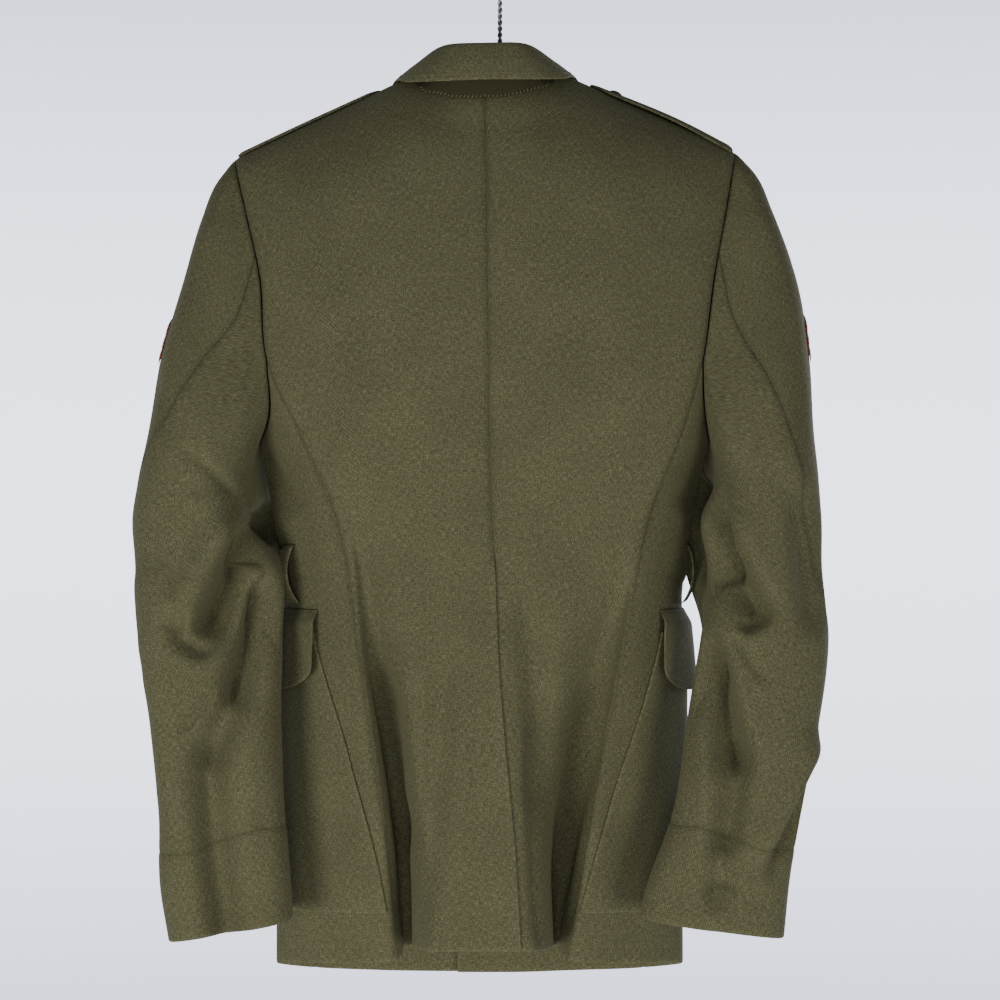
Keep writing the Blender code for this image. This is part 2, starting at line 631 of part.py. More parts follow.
def sleeve_ring(side, turn, z):
    """Point of the sleeve's oval section at a height; turn 0 is its outer side, 0.25 its back."""
    rings = SLEEVES[side]["rings"]
    heights = np.array(list(rings), float)[::-1] * MM
    values = np.array(list(rings.values()), float)[::-1] * MM
    outer, inner, middle, depth, over, ahead = (smooth_read(heights, column, z)
                                                for column in values.T)
    angle = 2 * np.pi * turn
    cos, sin = np.cos(angle), np.sin(angle)
    cos = np.sign(cos) * np.abs(cos) ** (2 / ROUNDNESS)
    sin = np.sign(sin) * np.abs(sin) ** (2 / ROUNDNESS)
    swell = np.exp(-(((np.mod(turn, 1.0) - SWELL_TURN) / SWELL_WIDTH) ** 2))
    x = (outer + inner) / 2 + (outer - inner) / 2 * cos + np.sign(inner - outer) * over * swell
    return np.stack([x, middle + depth * sin - ahead * swell, z], axis=-1)


def smooth_read(places, values, at):
    """A column of a table read with a smooth curve through its rows."""
    slope = np.gradient(values, places)
    i = np.clip(np.searchsorted(places, at) - 1, 0, len(places) - 2)
    step = places[i + 1] - places[i]
    f = np.clip((at - places[i]) / step, 0, 1)
    return (
        (1 + 2 * f) * (1 - f) ** 2 * values[i]
        + f * (1 - f) ** 2 * step * slope[i]
        + f**2 * (3 - 2 * f) * values[i + 1]
        + f**2 * (f - 1) * step * slope[i + 1]
    )


def sleeve_surface(side):
    """Function of (turn, row) giving the sleeve's outer face; row runs from armhole to hem."""
    shape = SLEEVES[side]
    level_z = shape["level_z"] * MM
    sign = -1 if side == "left" else 1

    def raw(turn, row):
        start, _, off = armhole_loop(side, turn)
        start = start + off * EDGE_TRIM
        cap = np.clip(row / CAP_SHARE, 0, 1)
        rest = np.maximum((row - CAP_SHARE) / (1 - CAP_SHARE), 0)
        hem = around(turn, *shape["hem"]) * MM
        z = start[:, 2] + (level_z - start[:, 2]) * cap + (hem - level_z) * rest
        miss = start - sleeve_ring(side, turn, start[:, 2])
        return sleeve_ring(side, turn, z) + miss * ((1 - cap) ** CAP_FADE)[:, None]

    def surface(turn, row):
        points = raw(turn, row)
        normal = sign * slopes_normal(raw, turn, row, SLEEVE_PROBE, SLEEVE_PROBE)
        push = trough(points, normal[:, 1], shape["folds"])
        push *= ease((row - SLEEVE_FOLD_ROWS[0]) / SLEEVE_FOLD_ROWS[1])
        return points - push[:, None] * normal, normal

    return surface


def around(turn, outer, inner):
    """A size that differs from the sleeve's outer side to its inner side."""
    return inner + (outer - inner) * (0.5 + 0.5 * np.cos(2 * np.pi * turn))


def cuff_row(side, turn):
    """Row of the cuff seam at a turn."""
    shape = SLEEVES[side]
    level, hem, cuff = shape["level_z"], around(turn, *shape["hem"]), around(turn, *shape["cuff"])
    return CAP_SHARE + (1 - CAP_SHARE) * (cuff - level) / (hem - level)


def armhole_turns():
    """Turns of the under sleeve's columns at the armhole; below it they are the side body's."""
    back = np.linspace(SLEEVES["left"]["elbow"][0][1], ARMHOLE_SIDE_SHARE, UNDER_SPANS + 1)[:-1]
    foot = (ticks(SEAM_LINE, FRONT_SEAM_LINE, *SIDE_SPANS) - SEAM_LINE) / 2
    return np.concatenate([back, ARMHOLE_SIDE_SHARE + foot * (1 - 2 * ARMHOLE_SIDE_SHARE)])


def sleeve_pieces():
    turns = armhole_turns()
    matched = (turns - turns[0]) / (turns[-1] - turns[0])
    for side in ("left", "right"):
        surface = sleeve_surface(side)
        elbow = np.array(SLEEVES[side]["elbow"], float).T
        inseam = np.array(SLEEVES[side]["inseam"], float).T
        shares = np.concatenate([np.linspace(low, high, count + 1)[low > 0:]
                                 for low, high, count in SLEEVE_SHARES])
        cuff_turns = []
        for piece, start, stop, past, at_armhole in (
            ("under_sleeve", elbow, inseam, 0, matched),
            ("top_sleeve", inseam, elbow, 1, np.linspace(0, 1, TOP_COLUMNS)),
        ):
            even, rows = np.meshgrid(np.linspace(0, 1, len(at_armhole)), shares)
            across = even + (at_armhole - even) * ease(1 - rows / CAP_SHARE)
            turn = smooth_read(*start, rows) * (1 - across)
            turn = turn + (smooth_read(*stop, rows) + past) * across
            turn_end = turn[-1]
            ends = cuff_row(side, turn_end)[None, :]
            rows = rows * ends
            outer, inner = grid(turn, rows, surface)
            mitre_armhole(side, turn[0], outer, inner)
            trim(outer, inner, ("first_column", "last_column", "last_row"))
            sheet(f"{piece}_{side}", outer, inner, "serge")
            cuff_turns += list(turn_end[:-1])
        turn = np.array(cuff_turns)[None, :]
        share = np.linspace(0, 1, CUFF_ROWS)[:, None]
        start = cuff_row(side, turn)
        rows = start + (1 - start) * share
        outer, inner = grid(np.broadcast_to(turn, rows.shape), rows, surface)
        trim(outer, inner, ("first_row",))
        sheet(f"cuff_{side}", outer, inner, "serge", wraps=True)


def mitre_armhole(side, turn, outer, inner):
    """Turns the sleeve's first rim so that it leans off the body's rim and never into it."""
    _, _, off = armhole_loop(side, turn)
    lean = inner[0] - outer[0]
    into = np.minimum(np.sum(lean * off, axis=1, keepdims=True), 0)
    inner[0] = outer[0] + unit(lean - into * off) * WALL


# ---- Collar and lapels ------------------------------------------------------------------------


def collar_guides(places):
    """Neck seam, fold and outer edge of the collar at places from -6 to 6, 0 at centre back."""
    guides = ([], [], [])
    for sign in (1, -1):
        half = ([], [], [])
        for kind, where, fold, edge in COLLAR:
            line = CENTRE - sign * (where if kind == "across" else FRONT_EDGE_LINE)
            level = TOP_LEVEL if kind == "across" else where
            point, _ = body(np.array([float(line)]), np.array([float(level)]))
            half[0].append(point[0])
            for row, (out, y, z) in ((1, fold), (2, edge)):
                x = COLLAR_MIDDLE + sign * out
                half[row].append(np.array([x, y, z - sign * out * COLLAR_TILT]) * MM)
        for guide, points in zip(guides, half):
            guide.append(points)
    last = len(COLLAR) - 1
    return [through(np.array(right[::-1] + left[1:]), places + last) for left, right in guides]


def collar():
    last = len(COLLAR) - 1
    places = np.linspace(-last, last, COLLAR_COLUMNS)
    seam, fold, edge = collar_guides(places)
    out = edge - fold
    out[:, 2] = 0
    out = unit(out)
    up = np.array([0, 0, 1.0])
    lip = fold - out * COLLAR_LIP_IN - up * COLLAR_LIP_DOWN
    swell = (fold + edge) / 2 + out * COLLAR_SWELL + up * COLLAR_SWELL
    rows = through(np.array([lip, fold, swell, edge]), np.array([0, 0.5, 1, 1.5, 2, 3]))
    wall_between("collar_fall", rows, COLLAR_WALL, into=lip - up * 2 * COLLAR_LIP_DOWN)
    foot = seam + up * COLLAR_SEAT[0] - out * COLLAR_SEAT[1]
    head = lip - up * COLLAR_JOIN
    middle = (foot + head) / 2 + out * COLLAR_SWELL / 2
    rows = through(np.array([foot, middle, head]), np.linspace(0, 2, 4))
    wall_between("collar_stand", rows, COLLAR_WALL, into=fold - out * 40 * MM)


def wall_between(name, rows, wall, into, slot="serge"):
    """Closed wall from a grid of points, thickened towards the side where the points into lie."""
    along = np.gradient(rows, axis=1)
    down = np.gradient(rows, axis=0)
    normal = unit(np.cross(along, down))
    towards = np.sum(normal * (into[None] - rows), axis=-1)
    if towards.sum() > 0:
        normal = -normal
    return sheet(name, rows, rows - wall * normal, slot)


def lapels():
    """Each lapel turns outwards at the roll line, widens to the notch and lies on the front."""
    for side in ("left", "right"):
        across, up = np.meshgrid(np.linspace(0, 1, LAPEL["columns"]),
                                 np.linspace(0, 1, LAPEL["rows"]))
        level = LAPEL["foot"] + (LAPEL["top"] - LAPEL["foot"]) * up
        least = LAPEL["least"]
        width = LAPEL["lines"] * (least + (1 - least) * ease(up / LAPEL["widest"]))
        away = FRONT_EDGE_LINE - across * width
        level = level - across * up**4 * LAPEL["slant"]
        lift = LAY_GAP + LAPEL["roll"] * np.sin(np.pi * np.clip(across * 1.2, 0, 1))
        outer, inner = patch(side, away, level, lift, PIECE_WALL)
        sheet(f"lapel_{side}", outer, inner, "serge")


# ---- Pieces sewn on ---------------------------------------------------------------------------


def patch(side, away, level, lift, wall):
    """Grids of a piece that lies on the body, at lines counted from centre back."""
    sign = -1 if side == "left" else 1
    return grid(CENTRE + sign * away, level, body, lift + wall, wall)


def panel_lines(rear, front):
    """Columns of the body panels from a piece's rear edge to its front edge, row by row; those
    behind the rear edge close up beside it."""
    ticks_here = np.concatenate([ticks(SEAM_LINE, FRONT_SEAM_LINE, *SIDE_SPANS),
                                 ticks(FRONT_SEAM_LINE, FRONT_EDGE_LINE, *FRONT_SPANS)[1:]])
    crowd = POCKET["crowd"]
    ticks_here = ticks_here[(ticks_here > rear.min() + crowd) & (ticks_here < front - crowd)]
    close = rear[:, None] + crowd * np.arange(1, len(ticks_here) + 1)
    middle = np.maximum(ticks_here[None, :], close)
    return np.concatenate([rear[:, None], middle, np.full((len(rear), 1), front)], axis=1)


def pockets():
    for side in ("left", "right"):
        level = np.array([v for v in ROW_LEVELS if POCKET["foot"] <= v <= POCKET["top"]])
        up = (level - level[0]) / (level[-1] - level[0])
        rear = POCKET["rear_foot"] + (POCKET["rear_top"] - POCKET["rear_foot"]) * up
        away = panel_lines(rear, POCKET["front"])
        across = (away - rear[:, None]) / (POCKET["front"] - rear[:, None])
        swell = POCKET["swell"] * np.sin(np.pi * across) * np.sin(np.pi * up)[:, None]
        level = np.broadcast_to(level[:, None], away.shape)
        outer, inner = patch(side, away, level, LAY_GAP + swell, PIECE_WALL)
        sheet(f"pocket_{side}", outer, inner, "serge")

        # The flap rises over the pocket's top edge and stands off at its foot.
        level = np.array([v for v in ROW_LEVELS if FLAP["foot"] <= v <= FLAP["top"]])
        away = panel_lines(np.full(len(level), FLAP["rear"]), FLAP["front"])
        across = (away - FLAP["rear"]) / (FLAP["front"] - FLAP["rear"])
        from_end = np.minimum(across, 1 - across)
        corner = np.clip(1 - from_end / FLAP["corner_share"], 0, 1) ** 2
        level = np.broadcast_to(level[:, None], away.shape)
        up = (level - FLAP["foot"]) / (FLAP["top"] - FLAP["foot"])
        level = level + FLAP["corner"] * corner * (1 - up)
        over = POCKET["swell"] + PIECE_WALL + LAY_GAP
        lift = LAY_GAP + over * ease((1 - up) / FLAP["step_share"])
        lift = lift + FLAP["stand_off"] * (1 - up) ** 2
        outer, inner = patch(side, away, level, lift, PIECE_WALL)
        sheet(f"pocket_flap_{side}", outer, inner, "serge")


def level_of(z):
    """Level at which the body between hem and armhole has a height in millimetres."""
    heights = [HEM_Z["side"]] + list(LEVEL_Z.values())
    return np.interp(z, heights, np.arange(len(heights)))


def belt_loops():
    for side in ("left", "right"):
        loop = BELT_LOOP
        up, across = np.meshgrid(np.linspace(0, 1, 11), np.linspace(-1, 1, 3), indexing="ij")
        away = loop["line"][side] + across * loop["half_lines"]
        level = level_of(loop["foot"] + (loop["top"] - loop["foot"]) * up)
        bow = loop["bow"] * MM * np.sin(np.pi * up) ** 0.7
        outer, inner = patch(side, away, level, LAY_GAP + bow, PIECE_WALL)
        sheet(f"belt_loop_{side}", outer, inner, "serge")


def over_shoulder(side, away, behind):
    """Cloth of the shoulder at lines from centre back and millimetres behind the seam."""
    sign = -1 if side == "left" else 1
    line = np.where(behind >= 0, away, 2 * SIDE_LINE - away)
    return body(CENTRE + sign * line, TOP_LEVEL - np.abs(behind) / SHOULDER_ROLL)


def epaulettes():
    """A strap that lies over the shoulder seam, sewn in at the armhole and buttoned at the neck."""
    for side in ("left", "right"):
        strap = EPAULETTE
        along, across = np.meshgrid(np.linspace(0, 1, 13), np.linspace(-1, 1, 6), indexing="ij")
        away = strap["from"] + (strap["to"] - strap["from"]) * along
        half = strap["half_width"] + (strap["end_half_width"] - strap["half_width"]) * along
        half = half * np.sqrt(0.25 + 0.75 * np.clip((1 - along) / strap["round_share"], 0, 1))
        lift = strap["seat"] + strap["bow"][side] * np.sin(np.pi * along)

        def surface(away, behind, side=side):
            return over_shoulder(side, away, behind)

        outer, inner = grid(away, strap["middle"][side] + half * across, surface,
                            lift + strap["wall"], strap["wall"])
        sheet(f"epaulette_{side}", outer, inner, "serge")
        tip, up = surface(away[-3, :1], np.array([strap["middle"][side]]))
        raised = lift[-3, 0] + strap["wall"] + 2 * LAY_GAP
        button(f"epaulette_button_{side}", tip[0] + up[0] * raised, up[0], "small")


def button(name, place, axis, size, slot="bronze"):
    """Domed button standing on a place along an axis."""
    radius, height = BUTTONS[size]
    profile = BUTTON_PROFILE
    side = unit(np.cross(axis, [0.3, 0.2, 1.0]))
    other = np.cross(axis, side)
    turns = np.linspace(0, 2 * np.pi, BUTTON_SIDES, endpoint=False)
    points, faces = [place + axis * profile[0][1] * height], []
    for out, up in profile[1:-1]:
        for turn in turns:
            spoke = side * math.cos(turn) + other * math.sin(turn)
            points.append(place + spoke * out * radius + axis * up * height)
    points.append(place + axis * height)
    last = len(points) - 1
    rings = len(profile) - 2
    for k in range(BUTTON_SIDES):
        after = (k + 1) % BUTTON_SIDES
        faces.append((0, 1 + after, 1 + k))
        for ring in range(rings - 1):
            low, high = 1 + ring * BUTTON_SIDES, 1 + (ring + 1) * BUTTON_SIDES
            faces.append((low + k, low + after, high + after, high + k))
        top = 1 + (rings - 1) * BUTTON_SIDES
        faces.append((top + k, top + after, last))
    add_mesh(name, np.array(points), faces, slot)


def front_buttons():
    for number, level in enumerate(FRONT_BUTTON_LEVELS, 1):
        point, normal = body(np.array([FRONT_BUTTON_LINE]), np.array([level]))
        button(f"front_button_{number}", point[0] + normal[0] * LAY_GAP * 2, normal[0], "large")


def chevrons():
    """A plain chevron badge wrapped round the outer side of each upper sleeve, point up."""
    for side in ("left", "right"):
        surface = sleeve_surface(side)
        badge = CHEVRON
        across, up = np.meshgrid(np.linspace(-1, 1, 13), np.linspace(0, 1, 3))
        turn = badge["middle"] + across * badge["half_turn"]
        down = np.abs(across) * badge["rise"] + up * badge["height"]
        row = badge["row"] + down * badge["rows"]
        outer, inner = grid(turn, row, surface, LAY_GAP + badge["wall"], badge["wall"])
        sheet(f"chevrons_{side}", outer, inner, "red_braid")


# ---- Hanger -----------------------------------------------------------------------------------


def wire(name, points, radii=None, closed=False):
    curve = bpy.data.curves.new(name, "CURVE")
    curve.dimensions = "3D"
    curve.bevel_depth = WIRE_RADIUS
    curve.bevel_resolution = 2
    curve.use_fill_caps = not closed
    spline = curve.splines.new("POLY")
    spline.points.add(len(points) - 1)
    spline.use_cyclic_u = closed
    for k, place in enumerate(points):
        spline.points[k].co = (*place, 1)
        spline.points[k].radius = radii[k] if radii is not None else 1.0
    curve.materials.append(finish(name, "wire"))
    obj = bpy.data.objects.new(name, curve)
    bpy.context.scene.collection.objects.link(obj)
    return obj


def hanger():
    centre_z = -(HOOK_RADIUS - WIRE_RADIUS)
    arc = np.radians(np.linspace(HOOK_START, HOOK_START + HOOK_TURN, 19))
    hook = np.stack([HOOK_RADIUS * np.cos(arc), 0 * arc, centre_z + HOOK_RADIUS * np.sin(arc)], 1)
    neck = np.array([[x, 0, z] for x, z, _ in HANGER_NECK]) * MM
    radii = [radius * MM / WIRE_RADIUS for _, _, radius in HANGER_NECK] + [1.0] * len(hook)
    wire("hanger_hook", np.concatenate([neck, hook]), radii)

    arms = []
    for side, sign in (("left", -1), ("right", 1)):
        lines, drops = np.array(HANGER_PATH).T
        under, _ = body(CENTRE + sign * lines, np.full(len(lines), float(TOP_LEVEL)))
        under[:, 2] -= drops * MM
        under[:, 1] = 0
        end = under[-1]
        out = 1 if side == "left" else -1
        corner = [end + np.array([out * dx, 0, dz]) * MM for dx, dz in HANGER_CORNER]
        arms.append(np.concatenate([under, corner]))
    apex = np.array([[0, 0, HANGER_APEX * MM]])
    loop = np.concatenate([apex, arms[0], arms[1][::-1]])
    wire("hanger_shoulders", loop, closed=True)


def main():
    clear_scene()
    back_panels()
    side_panels()
    front_panels()
    sleeve_pieces()
    collar()
    lapels()
    pockets()
    belt_loops()
    epaulettes()
    front_buttons()
    chevrons()
    hanger()


main()
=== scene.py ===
import math

import bpy
import numpy as np
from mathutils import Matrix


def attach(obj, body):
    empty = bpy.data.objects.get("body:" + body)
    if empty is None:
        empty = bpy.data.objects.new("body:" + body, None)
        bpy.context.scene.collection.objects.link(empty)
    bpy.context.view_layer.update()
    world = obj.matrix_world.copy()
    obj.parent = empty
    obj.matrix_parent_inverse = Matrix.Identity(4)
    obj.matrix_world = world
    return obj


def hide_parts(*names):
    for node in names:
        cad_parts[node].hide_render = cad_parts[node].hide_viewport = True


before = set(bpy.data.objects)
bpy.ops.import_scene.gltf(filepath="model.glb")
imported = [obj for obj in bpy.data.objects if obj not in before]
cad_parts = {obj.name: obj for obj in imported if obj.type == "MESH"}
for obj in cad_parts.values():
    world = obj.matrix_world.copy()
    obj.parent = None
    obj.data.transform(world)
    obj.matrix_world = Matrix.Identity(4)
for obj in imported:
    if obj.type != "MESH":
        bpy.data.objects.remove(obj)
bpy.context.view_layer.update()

# Dress tunic on a twisted wire hanger, seen from behind. Metres, +Z up, back of the tunic
# towards +Y, wearer's left towards +X. Every table is in millimetres unless it says otherwise.
mm = 0.001

# ---- small helpers


def ease(x):
    # 3x^2 - 2x^3, held at 0 and 1 outside
    x = np.clip(x, 0, 1)
    return x * x * (3 - 2 * x)


def unit(v):
    return v / np.maximum(np.linalg.norm(v, axis=-1, keepdims=True), 1e-12)


def through(points, at, ownColumn=False):
    # cubic through the points along the first axis, tangents weighted by the root of each gap
    at = np.clip(np.asarray(at, float), 0, len(points) - 1)
    gaps = np.diff(points, axis=0)
    step = np.sqrt(np.linalg.norm(gaps, axis=-1, keepdims=True)) + 1e-6
    slope = gaps / step
    middle = (slope[:-1] * step[1:] + slope[1:] * step[:-1]) / (step[:-1] + step[1:])
    tangent = np.concatenate([slope[:1], middle, slope[-1:]])
    i = np.minimum(at.astype(int), len(points) - 2)
    where = (i, np.arange(len(at))) if ownColumn else (i,)
    after = (i + 1, *where[1:])
    f = (at - i).reshape((-1,) + (1,) * (points[where].ndim - 1))
    return ((1 + 2 * f) * (1 - f) ** 2 * points[where]
            + f * (1 - f) ** 2 * step[where] * tangent[where]
            + f**2 * (3 - 2 * f) * points[after] + f**2 * (f - 1) * step[where] * tangent[after])


def smoothRead(places, values, at):
    # one column of a table read with a smooth curve through its rows
    slope = np.gradient(values, places)
    i = np.clip(np.searchsorted(places, at) - 1, 0, len(places) - 2)
    step = places[i + 1] - places[i]
    f = np.clip((at - places[i]) / step, 0, 1)
    return ((1 + 2 * f) * (1 - f) ** 2 * values[i] + f * (1 - f) ** 2 * step * slope[i]
            + f**2 * (3 - 2 * f) * values[i + 1] + f**2 * (f - 1) * step * slope[i + 1])


def slopesNormal(surface, a, b, stepA, stepB):
    # unit normal = slope in a  x  slope in b
    alongA = surface(a + stepA, b) - surface(a - stepA, b)
    alongB = surface(a, b + stepB) - surface(a, b - stepB)
    return unit(np.cross(alongA, alongB))


def places(count, *fine):
    # even places from 0 to 1, with the fine ones added beside both ends
    fine = np.array(fine)
    even = np.linspace(0, 1, count + 1)
    even = even[(even == 0) | (even == 1)
                | ((even > fine.max(initial=0) * 1.3) & (even < 1 - fine.max(initial=0) * 1.3))]
    return np.sort(np.concatenate([even, fine, 1 - fine]))


def arcAcross(points):
    # distance along each row from its first column
    steps = np.linalg.norm(np.diff(points, axis=1), axis=2)
    return np.concatenate([np.zeros((len(points), 1)), np.cumsum(steps, axis=1)], axis=1)


def arcDown(points):
    return arcAcross(points.transpose(1, 0, 2)).T


# ---- the body's surface: vertical lines from the left front edge round the back to the right one

levelNames = ("hem", "skirt", "pocket", "hip", "waist", "ribs", "chest", "armhole", "blade", "yoke",
              "roll", "shoulder")
bodyShape = {
    "levelZ": {"skirt": -804, "pocket": -720, "hip": -643, "waist": -570, "ribs": -506,
               "chest": -446, "armhole": -386},
    "shoulderShare": {"blade": 0.40, "yoke": 0.74, "roll": 0.94},
    "backLines": ("centre", "neck", "crest", "valley", "seam", "side"),
    "frontLines": ("frontSeam", "frontOuter", "frontInner", "edge"),
    "hemZ": (-888, -888, -889, -896, -903, -918, -925, -928, -929, -929),
    "topZ": {"left": (-155, -134, -158, -182, -206, -206, -206, -182, -158, -134),
             "right": (-155, -131, -154, -177, -200, -200, -200, -177, -154, -131)},
    # level: x, y at centre, neck, crest, valley, side back seam, side
    "left": {
        "hem": ((-18, 92), (25, 90), (64, 84), (82, 20), (90, 46), (199, -30)),
        "skirt": ((-13, 86), (32, 83), (67, 76), (89, 20), (98, 50), (199, -28)),
        "pocket": ((-5, 79), (38, 76), (73, 68), (99, 26), (110, 53), (198, -26)),
        "hip": ((1, 72), (44, 70), (79, 63), (110, 42), (121, 54), (197, -22)),
        "waist": ((4, 65), (51, 65), (86, 61), (118, 54), (132, 53), (191, -12)),
        "ribs": ((8, 66), (56, 67), (92, 66), (124, 63), (147, 55), (203, -8)),
        "chest": ((9, 70), (60, 72), (101, 70), (141, 66), (175, 56), (213, -4)),
        "armhole": ((10, 72), (63, 74), (108, 72), (156, 66), (201, 50), (220, 0)),
        "blade": ((11, 70), (68, 71), (115, 68), (163, 59), (208, 43), (224, 0)),
        "yoke": ((12, 60), (74, 57), (122, 53), (172, 44), (222, 28), (232, 0)),
        "roll": ((13, 50), (78, 26), (128, 23), (180, 19), (231, 14), (235, 0)),
        "shoulder": ((13, 45), (79, 0), (130, 0), (182, 0), (233, 0), (233, 0)),
    },
    "right": {
        "hem": ((-18, 92), (-27, 90), (-38, 82), (-50, 14), (-58, 44), (-163, -30)),
        "skirt": ((-13, 86), (-25, 83), (-38, 70), (-56, 14), (-74, 49), (-162, -28)),
        "pocket": ((-5, 79), (-21, 75), (-42, 54), (-68, 26), (-90, 53), (-162, -26)),
        "hip": ((1, 72), (-21, 68), (-52, 59), (-87, 41), (-106, 54), (-163, -22)),
        "waist": ((4, 65), (-26, 65), (-62, 62), (-98, 55), (-120, 53), (-161, -12)),
        "ribs": ((8, 66), (-34, 67), (-74, 65), (-110, 61), (-135, 54), (-172, -10)),
        "chest": ((9, 70), (-39, 72), (-84, 70), (-127, 65), (-158, 56), (-186, -6)),
        "armhole": ((10, 72), (-43, 74), (-89, 72), (-137, 65), (-175, 50), (-195, 0)),
        "blade": ((11, 70), (-46, 71), (-94, 68), (-143, 58), (-186, 43), (-202, 0)),
        "yoke": ((12, 60), (-50, 57), (-100, 53), (-150, 44), (-198, 28), (-208, 0)),
        "roll": ((13, 50), (-52, 26), (-104, 23), (-156, 19), (-205, 14), (-209, 0)),
        "shoulder": ((13, 45), (-53, 0), (-105, 0), (-158, 0), (-207, 0), (-207, 0)),
    },
    # level: middle of the fronts, edge past it, edge y, seam in from the side, seam y, crown
    "front": {
        "hem": (18, -20, -52, 34, -48, 3), "skirt": (18, -20, -52, 34, -48, 3),
        "pocket": (18, -20, -53, 33, -48, 4), "hip": (17, -20, -54, 32, -46, 5),
        "waist": (15, -20, -56, 30, -42, 6), "ribs": (14, -20, -64, 30, -46, 7),
        "chest": (13, -19, -73, 30, -50, 8), "armhole": (13, 8, -77, 22, -48, 10),
        "blade": (13, 32, -70, 18, -40, 12), "yoke": (13, 52, -52, 10, -27, 11),
        "roll": (13, 64, -22, 4, -14, 4),
    },
    "wall": 2.0 * mm,
    "seamGap": 0.3 * mm,
    "layGap": 0.4 * mm,
    "probe": 0.02,
    "armpitDip": 1.15,
    "ventTop": 4.0,
    "underlap": 0.67,
    "frontLapTop": 6.8,
}
centre, lastLine, seamLine, sideLine, frontEdge = 9, 18, 4, 5, 9
armholeLevel, topLevel = 7, 11
wall, seamGap, layGap = bodyShape["wall"], bodyShape["seamGap"], bodyShape["layGap"]

# Soft folds: x, z of both ends, depth, half width, bow of the line, and how much wider the side
# towards -X is than the other one; a ridge has a negative depth. The first four of the back are
# the main ones, and the collar and hanger are set out from the cloth with those alone.
backFolds = (
    (50, -640, 66, -860, 9, 14, 0, 0),
    (214, -462, 178, -512, 6, 9, 0, 0),
    (-188, -466, -160, -512, 6, 10, 0, 0),
    (-22, -585, -38, -750, 7, 13, 2, 0),
    (122, -545, 103, -680, 6, 8, 0, 0.45),
    (106, -660, 88, -800, 10, 9, 1, 0.5),
    (92, -780, 80, -905, 12, 9, 0, 0.5),
    (-38, -735, -45, -890, 13, 11, 0, -0.2),
    (-110, -570, -84, -690, 6, 10, 0, -0.4),
    (-84, -680, -58, -860, 16, 11, 0, -0.45),
    (8, -560, 20, -840, 1.8, 15, 4, 0),
    (30, -700, 34, -880, -1.6, 11, -3, 0),
    (150, -520, 128, -610, 1.6, 9, 3, 0),
    (172, -470, 150, -560, -1.5, 8, 2, 0),
    (-140, -500, -112, -600, 1.6, 9, -3, 0),
    (190, -330, 168, -450, 1.5, 14, 5, 0),
    (-166, -330, -142, -440, 1.5, 13, -5, 0),
    (110, -250, 150, -330, 1.2, 18, 6, 0),
    (-84, -250, -126, -330, 1.2, 18, -6, 0),
    (-60, -175, 60, -180, 1.0, 10, 5, 0),
    (60, -470, 70, -620, 1.1, 18, -5, 0),
    (-40, -430, -52, -560, 1.1, 16, 5, 0),
    (140, -640, 150, -860, 2.4, 13, 6, 0),
    (170, -700, 176, -880, -2.0, 10, -4, 0),
    (-110, -650, -104, -860, 2.2, 12, -5, 0),
    (-136, -700, -138, -880, -1.8, 9, 4, 0),
    (96, -380, 120, -520, 1.0, 16, -4, 0),
)
frontFolds = (
    (60, -600, 74, -840, 4, 16, 5, 0),
    (-40, -590, -46, -850, 4, 15, -4, 0),
    (120, -470, 60, -560, 3, 12, 6, 0),
    (-96, -470, -40, -560, 3, 12, -6, 0),
    (190, -470, 150, -540, 4, 10, 3, 0),
    (-160, -470, -124, -540, 4, 10, -3, 0),
    (120, -640, 132, -880, 3, 14, -6, 0),
    (-92, -650, -100, -880, 3, 14, 5, 0),
    (30, -540, 44, -640, -2, 10, 3, 0),
    (150, -250, 110, -350, 2, 16, -4, 0),
    (-124, -250, -84, -350, 2, 16, 4, 0),
    (84, -330, 60, -430, 1.6, 14, 5, 0),
    (-60, -340, -38, -430, 1.6, 14, -4, 0),
)
foldEnd, foldFacing = 0.18, (0.05, 0.45)


def trough(points, facing, folds, faces=foldFacing):
    # sum of depth x exp(-(distance across / half width)^2), faded past the ends of each line and
    # where the cloth turns away
    push = np.zeros(len(points))
    for x0, z0, x1, z1, depth, width, bow, lean in folds:
        run = np.array([x1 - x0, z1 - z0]) * mm
        rel = points[:, [0, 2]] - np.array([x0, z0]) * mm
        along = rel @ run / (run @ run)
        across = (rel[:, 0] * run[1] - rel[:, 1] * run[0]) / np.linalg.norm(run)
        across = across - bow * mm * np.sin(np.pi * np.clip(along, 0, 1))
        ends = ease((along + foldEnd) / (2 * foldEnd)) * ease((1 + foldEnd - along) / (2 * foldEnd))
        half = width * mm * np.where((across > 0) == (z1 < z0), 1 + lean, 1 - lean)
        push += depth * mm * ends * np.exp(-((across / half) ** 2))
    start, span = faces
    return push * ease((facing - start) / span)


def unevenness(points):
    # slow waves of a hanging cloth, under a millimetre: a sum of sines along tilted directions
    x, y, z = (points / mm).T
    wave = 0.34 * np.sin(x / 23 + z / 61 + 0.4) * np.sin(z / 47 - y / 38)
    wave += 0.26 * np.sin(x / 13.5 - z / 39 + 1.9) * np.sin(z / 31 + x / 70 + y / 29)
    wave += 0.16 * np.sin((x + y) / 8.1 + z / 27) * np.sin(z / 17.5 - x / 33 + 2.2)
    return wave * mm


